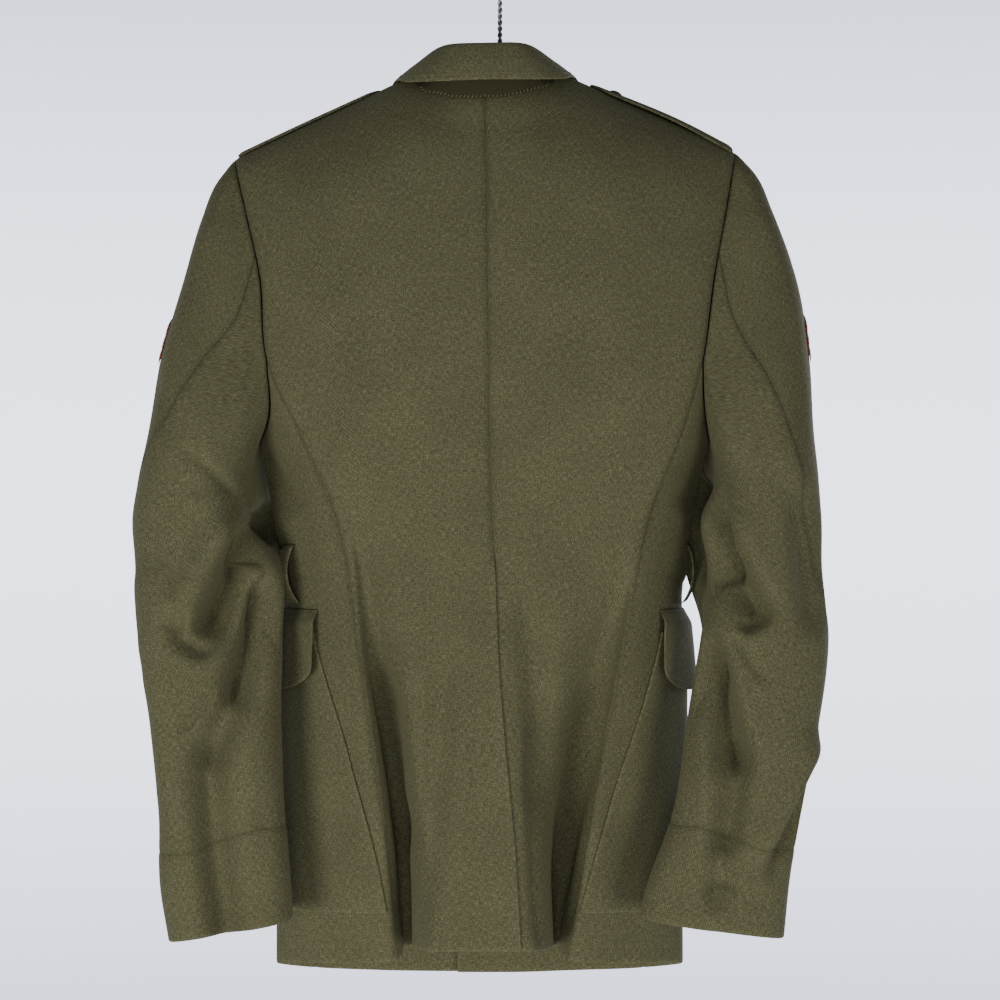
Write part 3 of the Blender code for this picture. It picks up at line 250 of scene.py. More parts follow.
def sideOfBody(side):
    # one side's points, lines x levels x 3, from centre back round to the front edge
    sign = 1 if side == "left" else -1
    lines = np.zeros((10, len(levelNames), 3))
    top = bodyShape["topZ"][side]
    for level, name in enumerate(levelNames):
        spots = list(bodyShape[side][name])
        if name == "shoulder":
            spots += [(x, -y) for x, y in spots[4:0:-1]]
        else:
            middle, past, edgeY, inset, seamY, crown = bodyShape["front"][name]
            seam = np.array([spots[5][0] - sign * inset, seamY], float)
            edge = np.array([middle + sign * past, edgeY], float)
            spots.append(seam)
            spots += [seam + (edge - seam) * share - np.array([0, crown * part]) for share,
                      part in ((1 / 3, 0.9), (2 / 3, 0.5))]
            spots.append(edge)
        for k, spot in enumerate(spots):
            if name == "hem":
                z = bodyShape["hemZ"][k]
            elif name in bodyShape["levelZ"]:
                z = bodyShape["levelZ"][name]
            else:
                z = -386 + (top[k] + 386) * bodyShape["shoulderShare"].get(name, 1.0)
            lines[k, level] = (*spot, z)
    return lines


def allLines():
    # the whole body, with one level past the shoulder seam so that the cloth turns over it
    left, right = sideOfBody("left"), sideOfBody("right")
    lines = np.concatenate([left[::-1], right[1:]])
    past = np.zeros((len(lines), 1, 3))
    for half, sign in ((left, -1), (right, 1)):
        for k in range(10):
            past[centre + sign * k, 0] = half[(10 - k) % 10, 10]
    past[centre, 0] = 2 * lines[centre, topLevel] - lines[centre, 10]
    return np.concatenate([lines, past], axis=1).transpose(1, 0, 2) * mm


bodyPoints = allLines()
shoulderSeam = {side: np.array([bodyPoints[topLevel, centre + sign * k] for k in range(1,
    5)]) for side, sign in (("left", -1), ("right", 1))}


def surfaceBetween(line, level):
    across = through(bodyPoints, level)
    return through(across.transpose(1, 0, 2), line, ownColumn=True)


def bodyRaw(line, level):
    points = surfaceBetween(line, level)
    away = np.abs(line - centre)
    along = np.where(away <= sideLine, away, 2 * sideLine - away)
    onSeam = (along > 1) & (along < seamLine) & (level > topLevel - 1)
    for side, sign in (("left", -1), ("right", 1)):
        here = onSeam & (np.sign(line - centre) == sign)
        if here.any():
            miss = through(shoulderSeam[side], along[here] - 1) - surfaceBetween(line[here],
                np.full(here.sum(), float(topLevel)))
            points[here] += miss * ease(level[here] - topLevel + 1)[:, None]
    return points


def smoothBody(line, level):
    # outer face with the main folds alone, as the collar and hanger are set out from it
    points = bodyRaw(line, level)
    normal = slopesNormal(bodyRaw, line, level, bodyShape["probe"], bodyShape["probe"])
    return points - trough(points, normal[:, 1], backFolds[:4])[:, None] * normal, normal


def body(line, level):
    # outer face with every fold and the slow waves, which die out towards the neck and hem
    points = bodyRaw(line, level)
    normal = slopesNormal(bodyRaw, line, level, bodyShape["probe"], bodyShape["probe"])
    push = trough(points, normal[:, 1], backFolds) + trough(points, -normal[:, 1], frontFolds)
    push += unevenness(points) * ease((topLevel - level) / 0.6)
    return points - push[:, None] * normal, normal


def ventLap(line, level):
    # how far in the right back lies under the left one
    return (wall + 0.6 * mm) * ease((centre + 2 - line) / 1.6) * ease((bodyShape["ventTop"] + 0.45
        - level) / 0.45)


def frontLap(line, level):
    return (wall + 3.4 * mm) * ease((line - lastLine + 1.9) / 1.1) * ease((bodyShape["frontLapTop"]
        + 0.45 - level) / 0.45)


def evenLevels(line, low, high, count, *fine):
    # levels at even distances down one line
    level = np.linspace(low, high, 500)
    run = np.concatenate([[0],
                          np.cumsum(np.linalg.norm(np.diff(bodyRaw(np.full(500, float(line)),
                              level), axis=0), axis=1))])
    return np.interp(places(count, *fine) * run[-1], run, level)


# ---- cloth as a closed thin shell


def newMesh(name, points, faces, uv=None, uvFaces=None, marks=None):
    # faces are rows of four corners; a row that repeats its last corner is a triangle
    tri = faces[:, 2] == faces[:, 3]
    keep = np.ones(faces.shape, bool)
    keep[tri, 3] = False
    sizes = keep.sum(axis=1)
    mesh = bpy.data.meshes.new(name)
    mesh.vertices.add(len(points))
    mesh.vertices.foreach_set("co", np.ascontiguousarray(points, np.float32).ravel())
    mesh.loops.add(int(sizes.sum()))
    mesh.loops.foreach_set("vertex_index", faces[keep].astype(np.int32))
    mesh.polygons.add(len(faces))
    mesh.polygons.foreach_set("loop_start",
                              np.concatenate([[0], np.cumsum(sizes)[:-1]]).astype(np.int32))
    mesh.polygons.foreach_set("use_smooth", np.ones(len(faces), bool))
    if uv is not None:
        mesh.uv_layers.new(name="grain").data.foreach_set("uv",
            uv[uvFaces[keep]].astype(np.float32).ravel())
    for key, values in (marks or {}).items():
        mesh.attributes.new(key, "FLOAT", "POINT").data.foreach_set("value",
            values.astype(np.float32))
    mesh.update(calc_edges=True)
    piece = bpy.data.objects.new(name, mesh)
    bpy.context.scene.collection.objects.link(piece)
    return piece


roundRim = ((0.5, 0.32),)
doubleRim = ((0.24, 0.3), (0.44, 0.1), (0.5, -0.55), (0.56, 0.1), (0.76, 0.3))


def clothShell(name, outer, inner, wraps=False, rim=roundRim, seams=(), free=(), grainTurn=0.0,
               hem="firstRow"):
    # Two grids of points joined round their borders by a rounded rim. seams are sides where the
    # cloth dips into a seam and is drawn darker there as painted shade, free those that are worn edges. The dip is
    # d x exp(-(distance/w)^2).
    # The grain is measured along the cloth from the hem and from the middle column.
    rows, cols = outer.shape[:2]
    across, down = arcAcross(outer), arcDown(outer)
    middle = cols // 2
    u = across - across[:, middle:middle + 1]
    v = down if hem == "firstRow" else down - down[-1:]
    far = {"firstColumn": across, "lastColumn": across[:, -1:] - across, "firstRow": down,
           "lastRow": down[-1:] - down}
    paintedGrooveShade, wearMark = np.zeros((rows, cols)), np.zeros((rows, cols))
    thick = outer - inner
    for side, share in dict(seams).items():
        near = np.exp(-((far[side] / (2.1 * mm)) ** 2)) * share
        # painted shade: the colour is drawn darker within a few millimetres of the seam's groove
        paintedGrooveShade = np.maximum(paintedGrooveShade, np.exp(-((far[side] / (3.4 * mm)) ** 2)) * share)
        # the dip, and a faint raised band over the turned allowance, which ends 11 mm away
        outer = outer - (near * 0.34)[..., None] * thick
        inner = inner + (near * 0.16)[..., None] * thick
        outer = outer + (0.07 * share * ease((12.5 * mm - far[side]) / (3 * mm))
                         * (1 - np.exp(-((far[side] / (3 * mm)) ** 2))))[..., None] * thick
    for side, share in dict(free).items():
        wearMark = np.maximum(wearMark, np.exp(-((far[side] / (3.2 * mm)) ** 2)) * share)
        outer = outer - (np.exp(-((far[side] / (0.9 * mm)) ** 2)) * 0.17 * share)[..., None] * thick
        inner = inner + (np.exp(-((far[side] / (0.9 * mm)) ** 2)) * 0.17 * share)[..., None] * thick
    index = np.arange(rows * cols).reshape(rows, cols)
    if wraps:
        index = np.concatenate([index, index[:, :1]], axis=1)
        loops = [(index[0, :-1], index[0, 1:]), (index[-1, 1:], index[-1, :-1])]
        inwards = [outer[1] - outer[0], outer[-2] - outer[-1]]
        borders = [index[0, :-1], index[-1, :-1]]
    else:
        border = np.concatenate([index[0, :-1], index[:-1, -1], index[-1, :0:-1], index[:0:-1, 0]])
        loops = [(border, np.roll(border, -1))]
        towards = np.zeros(outer.shape)
        towards[0] += unit(outer[1] - outer[0])
        towards[-1] += unit(outer[-2] - outer[-1])
        towards[:, 0] += unit(outer[:, 1] - outer[:, 0])
        towards[:, -1] += unit(outer[:, -2] - outer[:, -1])
        inwards = [towards.reshape(-1, 3)[border]]
        borders = [border]
    a, b, c, d = index[:-1, :-1], index[:-1, 1:], index[1:, 1:], index[1:, :-1]
    quads = np.stack([a, b, c, d], axis=-1).reshape(-1, 4)
    size = rows * cols
    flatOuter, flatInner = outer.reshape(-1, 3), inner.reshape(-1, 3)
    vertices, faces, uvFaces = [flatOuter, flatInner], [quads, size + quads[:, ::-1]], [quads,
        size + quads[:, ::-1]]
    flatGrooveShade, flatWear = paintedGrooveShade.ravel(), wearMark.ravel()
    grooveShadeMarks, wearMarks = [flatGrooveShade, flatGrooveShade * 0.3], [flatWear, flatWear]
    made = 2 * size
    for (start, stop), inward, border in zip(loops, inwards, borders):
        rings = [border]
        lean = flatInner[border] - flatOuter[border]
        deep = np.linalg.norm(lean, axis=1, keepdims=True)
        for share, bulge in rim:
            vertices.append(flatOuter[border] + lean * share - unit(inward) * deep * bulge)
            grooveShadeMarks.append(flatGrooveShade[border])
            wearMarks.append(flatWear[border])
            rings.append(made + np.arange(len(border)))
            made += len(border)
        rings.append(size + border)
        order = np.argsort(border) if wraps else None
        if wraps:
            first = np.searchsorted(border[order], start)
            second = np.searchsorted(border[order], stop)
            i, j = order[first], order[second]
        else:
            i = np.arange(len(border))
            j = np.roll(i, -1)
        for upper, lower in zip(rings[:-1], rings[1:]):
            faces.append(np.stack([upper[j], upper[i], lower[i], lower[j]], axis=-1))
            uvFaces.append(np.stack([border[j], border[i], border[i], border[j]], axis=-1))
    points, faces, uvFaces = np.concatenate(vertices), np.concatenate(faces), np.concatenate(uvFaces)
    # turn every face round if the outer grid came out facing in
    corner = flatOuter[quads]
    facing = np.cross(corner[:, 2] - corner[:, 0], corner[:, 3] - corner[:, 1])
    if np.sum(facing * (flatOuter - flatInner)[quads[:, 0]]) < 0:
        faces, uvFaces = faces[:, ::-1], uvFaces[:, ::-1]
    turn = math.radians(grainTurn)
    uv = np.stack([u * math.cos(turn) - v * math.sin(turn),
                   u * math.sin(turn) + v * math.cos(turn)], axis=-1).reshape(-1, 2)
    uv = np.concatenate([uv, uv + np.array([1.7, 0.35])])
    marks = {"paintedGrooveShade": np.concatenate(grooveShadeMarks), "wearMark": np.concatenate(wearMarks)}
    piece = newMesh(name, points, faces, uv, uvFaces, marks)
    area = float(np.sum(np.linalg.norm(facing, axis=1)) / 2)
    print(f"  {name}: {np.ptp(u):.3f} x {np.ptp(v):.3f} m, {area:.4f} m2, {2 * len(faces)} triangles")
    return piece


def grid(line, level, surface, lift=None, thick=wall):
    # outer and inner faces of a wall on a surface
    points, normal = surface(line.ravel(), level.ravel())
    if lift is not None:
        points = points + np.ravel(lift)[:, None] * normal
    inner = points - thick * normal
    return points.reshape(*line.shape, 3), inner.reshape(*line.shape, 3)


def trim(outer, inner, *sides):
    # draws the named sides in by half a seam gap, along the cloth
    spots = {"firstRow": (np.s_[0], np.s_[1]), "lastRow": (np.s_[-1], np.s_[-2]),
             "firstColumn": (np.s_[:, 0], np.s_[:, 1]), "lastColumn": (np.s_[:, -1], np.s_[:, -2])}
    for side in sides:
        edge, nextIn = spots[side]
        shift = unit(outer[nextIn] - outer[edge]) * seamGap / 2
        outer[edge] += shift
        inner[edge] += shift
    return outer, inner


def pucker(outer, inner, side, height=0.22, pitch=17.0):
    # small waves along a sewn edge: height x sin(2 pi s / pitch), dying out 9 mm from it
    if side in ("firstColumn", "lastColumn"):
        along, far = arcDown(outer), arcAcross(outer)
        far = far if side == "firstColumn" else far[:, -1:] - far
    else:
        along, far = arcAcross(outer), arcDown(outer)
        far = far if side == "firstRow" else far[-1:] - far
    s = along / mm
    wave = np.sin(2 * np.pi * s / pitch + 1.3 * np.sin(s / 41)) * (0.6 + 0.4 * np.sin(s / 57 + 1))
    wave *= height * mm * np.exp(-((far / (6 * mm)) ** 2))
    normal = unit(outer - inner)
    return outer + wave[..., None] * normal, inner + wave[..., None] * normal


def inset(outer, inner, side, depth):
    # a line at a fixed distance in from one side of a wall, with the wall's outward direction
    if side in ("firstRow", "lastRow"):
        outer, inner = outer.transpose(1, 0, 2), inner.transpose(1, 0, 2)
    if side in ("lastRow", "lastColumn"):
        outer, inner = outer[:, ::-1], inner[:, ::-1]
    far, row = arcAcross(outer), np.arange(len(outer))
    k = np.clip(np.sum(far < depth, axis=1), 1, outer.shape[1] - 1)
    share = ((depth - far[row, k - 1]) / (far[row, k] - far[row, k - 1]))[:, None]
    line = outer[row, k - 1] * (1 - share) + outer[row, k] * share
    return line, unit(line - inner[row, k - 1] * (1 - share) - inner[row, k] * share)


# ---- materials


def linear(code):
    # sRGB hex to linear: c/12.92 below 0.04045, else ((c+0.055)/1.055)^2.4
    c = np.array([int(code[i:i + 2], 16) for i in (1, 3, 5)]) / 255
    c = np.where(c <= 0.04045, c / 12.92, ((c + 0.055) / 1.055) ** 2.4)
    return (*(float(v) for v in c), 1.0)


def addNode(tree, kind, settings=None, inputs=None):
    # one node, its settings, and its inputs as values or as links from other sockets
    new = tree.nodes.new(kind)
    for key, value in (settings or {}).items():
        setattr(new, key, value)
    for key, value in (inputs or {}).items():
        if isinstance(value, bpy.types.NodeSocket):
            tree.links.new(value, new.inputs[key])
        else:
            new.inputs[key].default_value = value
    return new


def newMaterial(name):
    material = bpy.data.materials.new(name)
    material.use_nodes = True
    return material, material.node_tree, material.node_tree.nodes["Principled BSDF"]


def ramp(tree, value, *stops):
    new = addNode(tree, "ShaderNodeValToRGB", None, {0: value})
    for k, (place, code) in enumerate(stops):
        spot = new.color_ramp.elements[k] if k < 2 else new.color_ramp.elements.new(place)
        spot.position, spot.color = place, linear(code)
    return new.outputs[0]


sergeLook = {
    "shadowYarn": "#383928", "midYarn": "#4f503b", "lightYarn": "#6b6b52", "brownFleck": "#554731",
    "yarnWidth": 0.9, "yarnRun": 4.2,  # mm, drawn about twice as coarse as real so that it shows
    "twillPitch": 1.9,
    "roughness": 0.88, "sheen": 0.2, "sheenRoughness": 0.5, "bump": 0.35,
}


def heatheredWoolSerge(name="heatheredWoolSerge", look=sergeLook, shade=1.0):
    # Wool serge woven from mixed-colour yarn: the eye gets a matt olive broken into short light
    # and dark flecks along both threads, a faint diagonal twill, and a soft glow at grazing angles.
    material, tree, shader = newMaterial(name)
    grain = addNode(tree, "ShaderNodeUVMap", {"uv_map": "grain"}).outputs[0]
    fine, run = 1 / (look["yarnWidth"] * mm), 1 / (look["yarnRun"] * mm)
    warpSpace = addNode(tree, "ShaderNodeMapping", None,
                        {"Vector": grain, "Scale": (fine, run, 1)}).outputs[0]
    weftSpace = addNode(tree, "ShaderNodeMapping", None,
                        {"Vector": grain, "Scale": (run, fine, 1),
                         "Location": (9, 4, 0)}).outputs[0]
    warp = addNode(tree, "ShaderNodeTexNoise", None,
                   {"Vector": warpSpace, "Scale": 1.0, "Detail": 2.0, "Roughness": 0.6}).outputs[0]
    weft = addNode(tree, "ShaderNodeTexNoise", None,
                   {"Vector": weftSpace, "Scale": 1.0, "Detail": 2.0, "Roughness": 0.6}).outputs[0]
    twillSpace = addNode(tree, "ShaderNodeMapping", None,
                         {"Vector": grain, "Rotation": (0, 0, math.radians(-32)),
                          "Scale": (1 / (look["twillPitch"] * mm),) * 3}).outputs[0]
    twill = addNode(tree, "ShaderNodeTexWave",
                    {"wave_type": "BANDS", "bands_direction": "X", "wave_profile": "SIN"},
                    {"Vector": twillSpace, "Scale": 0.3183, "Distortion": 0.6, "Detail": 1.0,
                     "Detail Scale": 0.3}).outputs[1]
    threads = addNode(tree, "ShaderNodeMath", {"operation": "ADD"}, {0: warp, 1: weft}).outputs[0]
    threads = addNode(tree, "ShaderNodeMath", {"operation": "MULTIPLY_ADD"},
                      {0: twill, 1: 0.16, 2: threads}).outputs[0]
    flecks = addNode(tree, "ShaderNodeMapRange", None,
                     {0: threads, 1: 0.72, 2: 1.42, 3: 0.0, 4: 1.0}).outputs[0]
    yarn = ramp(tree, flecks, (0.0, look["shadowYarn"]), (1.0, look["lightYarn"]),
                (0.5, look["midYarn"]))
    brownNoise = addNode(tree, "ShaderNodeTexNoise", None,
                         {"Vector": grain, "Scale": 210.0, "Detail": 3.0,
                          "Roughness": 0.7}).outputs[0]
    brownShare = addNode(tree, "ShaderNodeMapRange", None,
                         {0: brownNoise, 1: 0.52, 2: 0.72, 3: 0.0, 4: 0.5}).outputs[0]
    yarn = addNode(tree, "ShaderNodeMix", {"data_type": "RGBA"},
                   {0: brownShare, 6: yarn, 7: linear(look["brownFleck"])}).outputs[2]
    # slow light and dark clouds, a few centimetres across, as pressing and handling leave them
    cloud = addNode(tree, "ShaderNodeTexNoise", None,
                    {"Vector": grain, "Scale": 17.0, "Detail": 2.0, "Roughness": 0.5}).outputs[0]
    cloudShade = addNode(tree, "ShaderNodeMapRange", None,
                         {0: cloud, 1: 0.3, 2: 0.7, 3: 0.93 * shade, 4: 1.06 * shade}).outputs[0]
    # painted shade along seam grooves, up to a fifth darker, and real wear that lightens the free edges
    paintedGrooveShade = addNode(tree, "ShaderNodeAttribute", {"attribute_name": "paintedGrooveShade"}).outputs["Fac"]
    wearMark = addNode(tree, "ShaderNodeAttribute", {"attribute_name": "wearMark"}).outputs["Fac"]
    seamShadeAndEdgeWear = addNode(tree, "ShaderNodeMath", {"operation": "MULTIPLY_ADD"},
                        {0: paintedGrooveShade, 1: -0.2, 2: 1.0}).outputs[0]
    seamShadeAndEdgeWear = addNode(tree, "ShaderNodeMath", {"operation": "MULTIPLY_ADD"},
                        {0: wearMark, 1: 0.1, 2: seamShadeAndEdgeWear}).outputs[0]
    tone = addNode(tree, "ShaderNodeMath", {"operation": "MULTIPLY"},
                   {0: cloudShade, 1: seamShadeAndEdgeWear}).outputs[0]
    colour = addNode(tree, "ShaderNodeVectorMath", {"operation": "SCALE"},
                     {0: yarn, "Scale": tone}).outputs[0]
    tree.links.new(colour, shader.inputs["Base Color"])
    rough = addNode(tree, "ShaderNodeMapRange", None,
                    {0: flecks, 1: 0.0, 2: 1.0, 3: look["roughness"] + 0.07,
                     4: look["roughness"] - 0.06}).outputs[0]
    tree.links.new(rough, shader.inputs["Roughness"])
    bump = addNode(tree, "ShaderNodeBump", None,
                   {"Strength": look["bump"], "Distance": 0.4 * mm, "Height": threads}).outputs[0]
    tree.links.new(bump, shader.inputs["Normal"])
    shader.inputs["Sheen Weight"].default_value = look["sheen"]
    shader.inputs["Sheen Roughness"].default_value = look["sheenRoughness"]
    shader.inputs["Sheen Tint"].default_value = linear("#a5a486")
    shader.inputs["Specular IOR Level"].default_value = 0.12
    shader.inputs["IOR"].default_value = 1.45
    return material


def feltedUndercollar():
    # Pressed wool felt under the collar: darker, with no weave, only a fine matted grain.
    material, tree, shader = newMaterial("feltedUndercollar")
    grain = addNode(tree, "ShaderNodeUVMap", {"uv_map": "grain"}).outputs[0]
    mat = addNode(tree, "ShaderNodeTexNoise", None,
                  {"Vector": grain, "Scale": 900.0, "Detail": 4.0, "Roughness": 0.75}).outputs[0]
    tree.links.new(ramp(tree, mat, (0.3, "#27271a"), (0.7, "#3b3b29")), shader.inputs["Base Color"])
    bump = addNode(tree, "ShaderNodeBump", None,
                   {"Strength": 0.4, "Distance": 0.4 * mm, "Height": mat}).outputs[0]
    tree.links.new(bump, shader.inputs["Normal"])
    shader.inputs["Roughness"].default_value = 0.95
    shader.inputs["Specular IOR Level"].default_value = 0.1
    return material


def twistedCottonThread():
    # Waxed cotton sewing thread: a shade lighter than the cloth, with a slight shine.
    material, tree, shader = newMaterial("twistedCottonThread")
    shader.inputs["Base Color"].default_value = linear("#67654a")
    shader.inputs["Roughness"].default_value = 0.6
    return material


def wovenRedBraid():
    # Cotton braid of the chevrons: slanting cords 1.6 mm apart with thin darker gaps, and the gaps between bars
    # drawn a darker red as painted shade.
    material, tree, shader = newMaterial("wovenRedBraid")
    grain = addNode(tree, "ShaderNodeUVMap", {"uv_map": "grain"}).outputs[0]
    cords = addNode(tree, "ShaderNodeTexWave",
                    {"wave_type": "BANDS", "bands_direction": "DIAGONAL"},
                    {"Vector": grain, "Scale": 115.0, "Distortion": 1.2, "Detail": 2.0}).outputs[1]
    # painted shade: the gaps between bars are drawn a darker red
    barGapShade = addNode(tree, "ShaderNodeAttribute", {"attribute_name": "paintedGrooveShade"}).outputs["Fac"]
    colour = ramp(tree, cords, (0.0, "#7c2f29"), (1.0, "#b5524a"))
    colour = addNode(tree, "ShaderNodeMix", {"data_type": "RGBA"},
                     {0: barGapShade, 6: colour, 7: linear("#4f2320")}).outputs[2]
    tree.links.new(colour, shader.inputs["Base Color"])
    bump = addNode(tree, "ShaderNodeBump", None,
                   {"Strength": 0.5, "Distance": 0.4 * mm, "Height": cords}).outputs[0]
    tree.links.new(bump, shader.inputs["Normal"])
    shader.inputs["Roughness"].default_value = 0.8
    shader.inputs["Sheen Weight"].default_value = 0.15
    return material


def castBronze():
    # Die-struck bronze buttons, darkened by a chemical finish and rubbed bright where they stand proud.
    material, tree, shader = newMaterial("darkenedBronze")
    where = addNode(tree, "ShaderNodeTexCoord").outputs["Object"]
    rub = addNode(tree, "ShaderNodeTexNoise", None,
                  {"Vector": where, "Scale": 160.0, "Detail": 4.0, "Roughness": 0.6}).outputs[0]
    wear = addNode(tree, "ShaderNodeAttribute", {"attribute_name": "wearMark"}).outputs["Fac"]
    both = addNode(tree, "ShaderNodeMath", {"operation": "MULTIPLY_ADD"},
                   {0: wear, 1: 0.4, 2: rub}).outputs[0]
    tree.links.new(ramp(tree, both, (0.35, "#3a2c1c"), (0.95, "#8d7146")),
                   shader.inputs["Base Color"])
    rough = addNode(tree, "ShaderNodeMapRange", None,
                    {0: both, 1: 0.3, 2: 1.0, 3: 0.55, 4: 0.3}).outputs[0]
    tree.links.new(rough, shader.inputs["Roughness"])
    bump = addNode(tree, "ShaderNodeBump", None,
                   {"Strength": 0.15, "Distance": 0.2 * mm, "Height": rub}).outputs[0]
    tree.links.new(bump, shader.inputs["Normal"])
    shader.inputs["Metallic"].default_value = 0.9
    return material


def drawnSteelWire():
    # Galvanised steel wire drawn through a die: fine lines along it and a dull grey bloom.
    material, tree, shader = newMaterial("drawnSteelWire")
    grain = addNode(tree, "ShaderNodeUVMap", {"uv_map": "grain"}).outputs[0]
    lines = addNode(tree, "ShaderNodeMapping", None,
                    {"Vector": grain, "Scale": (2600, 90, 1)}).outputs[0]
    drawn = addNode(tree, "ShaderNodeTexNoise", None,
                    {"Vector": lines, "Scale": 1.0, "Detail": 3.0}).outputs[0]
    bloom = addNode(tree, "ShaderNodeTexNoise", None,
                    {"Vector": grain, "Scale": 120.0, "Detail": 3.0}).outputs[0]
    tree.links.new(ramp(tree, bloom, (0.3, "#77767a"), (0.7, "#a9a8ab")),
                   shader.inputs["Base Color"])
    rough = addNode(tree, "ShaderNodeMapRange", None,
                    {0: drawn, 1: 0.3, 2: 0.7, 3: 0.32, 4: 0.5}).outputs[0]
    tree.links.new(rough, shader.inputs["Roughness"])
    bump = addNode(tree, "ShaderNodeBump", None,
                   {"Strength": 0.2, "Distance": 0.1 * mm, "Height": drawn}).outputs[0]
    tree.links.new(bump, shader.inputs["Normal"])
    shader.inputs["Metallic"].default_value = 0.95
    return material


serge = heatheredWoolSerge()
felt = feltedUndercollar()
thread = twistedCottonThread()
braid = wovenRedBraid()
bronze = castBronze()
steel = drawnSteelWire()
print("materials ready")


def dress(piece, material, slot, *nodes):
    # material, CAD nodes that the piece stands for, and the body that it moves with
    piece.data.materials.append(material)
    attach(piece, "root")
    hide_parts(*nodes)
    return piece


threadShape = {"radius": 0.3 * mm, "sides": 5, "pitch": 3.2 * mm, "length": 2.5 * mm,
               # place along a stitch, share of the radius, height over the cloth in radii
               "profile": ((0.0, 0.5, -0.6), (0.15, 1.0, 0.3), (0.5, 1.0, 0.7), (0.85, 1.0, 0.3),
                           (1.0, 0.5, -0.6))}


def stitches(name, slot, node, path, upward, pitch=threadShape["pitch"],
             length=threadShape["length"], slant=0.0):
    # a row of short capsules that dip into the cloth at both ends; slant turns each one, in degrees
    run = np.concatenate([[0], np.cumsum(np.linalg.norm(np.diff(path, axis=0), axis=1))])
    count = int(run[-1] / pitch)
    at = (np.arange(count) + 0.5) * run[-1] / count
    place, up, ahead = (np.stack([np.interp(at, run, column) for column in table.T],
                                 axis=-1) for table in (path, upward, np.gradient(path, axis=0)))
    up = unit(up)
    side = unit(np.cross(up, ahead))
    ahead = np.cross(side, up)
    turn = math.radians(slant)
    ahead, side = ahead * math.cos(turn) + side * math.sin(turn), side * math.cos(turn) - ahead * math.sin(turn)
    radius, sides = threadShape["radius"], threadShape["sides"]
    t, share, height = np.array(threadShape["profile"]).T
    angle = np.linspace(0, 2 * np.pi, sides, endpoint=False)
    out = np.cos(angle)[:, None] * side[:, None, None] + np.sin(angle)[:, None] * up[:, None, None]
    middle = place[:, None] + ahead[:, None] * ((t - 0.5) * length)[:, None] + up[:,
        None] * (height * radius)[:, None]
    rings = middle[:, :, None] + out * (share * radius)[:, None, None]
    points = np.concatenate([rings.reshape(count, -1, 3), middle[:, :1], middle[:, -1:]], axis=1)
    index = np.arange(len(t) * sides).reshape(len(t), sides)
    after = np.roll(index, -1, axis=1)
    body = np.stack([index[:-1], after[:-1], after[1:], index[1:]], axis=-1).reshape(-1, 4)[:, ::-1]
    a, b = len(t) * sides, len(t) * sides + 1
    caps = np.concatenate([np.stack([index[0], after[0], np.full(sides, a), np.full(sides, a)],
                                    axis=-1),
                           np.stack([after[-1], index[-1], np.full(sides, b), np.full(sides, b)],
                                    axis=-1)])
    one = np.concatenate([body, caps])
    corner = points[0][body[0]]
    if np.sum(np.cross(corner[2] - corner[0],
                       corner[3] - corner[1]) * (corner.mean(axis=0) - middle[0, 0])) < 0:
        one = np.concatenate([body[:, ::-1], caps[:, [1, 0, 2, 3]]])
    faces = (one[None] + (np.arange(count) * points.shape[1])[:, None, None]).reshape(-1, 4)
    return dress(newMesh(name, points.reshape(-1, 3), faces), thread, slot, node)


# ---- backs, side bodies and fronts

bodyCut = {
    "rows": 208, "backColumns": 54, "sideColumns": 30, "frontColumns": 44,
    "back": {"flat": (0.270, 0.800), "area": 0.150},
    "side": {"flat": (0.245, 0.510), "area": 0.086, "bag": {"left": 4.0 * mm, "right": 13.0 * mm}},
    "front": {"flat": (0.215, 0.835), "area": 0.155},
}


def backPanels():
    rowLevels = evenLevels(centre, 0, topLevel, bodyCut["rows"], 0.0012, 0.003, 0.006)
    across = places(bodyCut["backColumns"], 0.004, 0.011, 0.022)
    line, level = np.meshgrid(centre - seamLine + seamLine * across, rowLevels)
    outer, inner = trim(*grid(line, level, body), "firstColumn", "lastColumn", "lastRow")
    outer, inner = pucker(outer, inner, "firstColumn")
    seamHere = ease((level - bodyShape["ventTop"]) / 0.15)
    left = clothShell("backLeftCloth", outer, inner,
                      seams={"firstColumn": 1, "lastColumn": seamHere, "lastRow": 1},
                      free={"firstRow": 1, "lastColumn": 1 - seamHere})
    dress(left, serge, "serge", "back_left")

    # above the vent's head the underlap closes up beside the centre seam
    under = np.linspace(0, 1, 9)[:-1]
    opened = np.concatenate([-bodyShape["underlap"] * (1 - under), seamLine * across])
    shut = np.concatenate([0.05 * under, 0.05 + (seamLine - 0.05) * across])
    opened, level = np.meshgrid(opened, rowLevels)
    shut, _ = np.meshgrid(shut, rowLevels)
    line = centre + shut + (opened - shut) * ease((bodyShape["ventTop"] - level) / 0.3)
    outer, inner = trim(*grid(line, level, body, -ventLap(line, level)), "firstColumn",
                        "lastColumn", "lastRow")
    outer, inner = pucker(outer, inner, "lastColumn")
    right = clothShell("backRightCloth", outer, inner,
                       seams={"firstColumn": ease((level - bodyShape["ventTop"]) / 0.15),
                              "lastColumn": 1, "lastRow": 1},
                       free={"firstRow": 1})
    dress(right, serge, "serge", "back_right")


def armholeFoot(away):
    # highest level of the side body: a U between the armhole's sides
    return armholeLevel - bodyShape["armpitDip"] * (1 - np.abs(away - sideLine) ** 2)


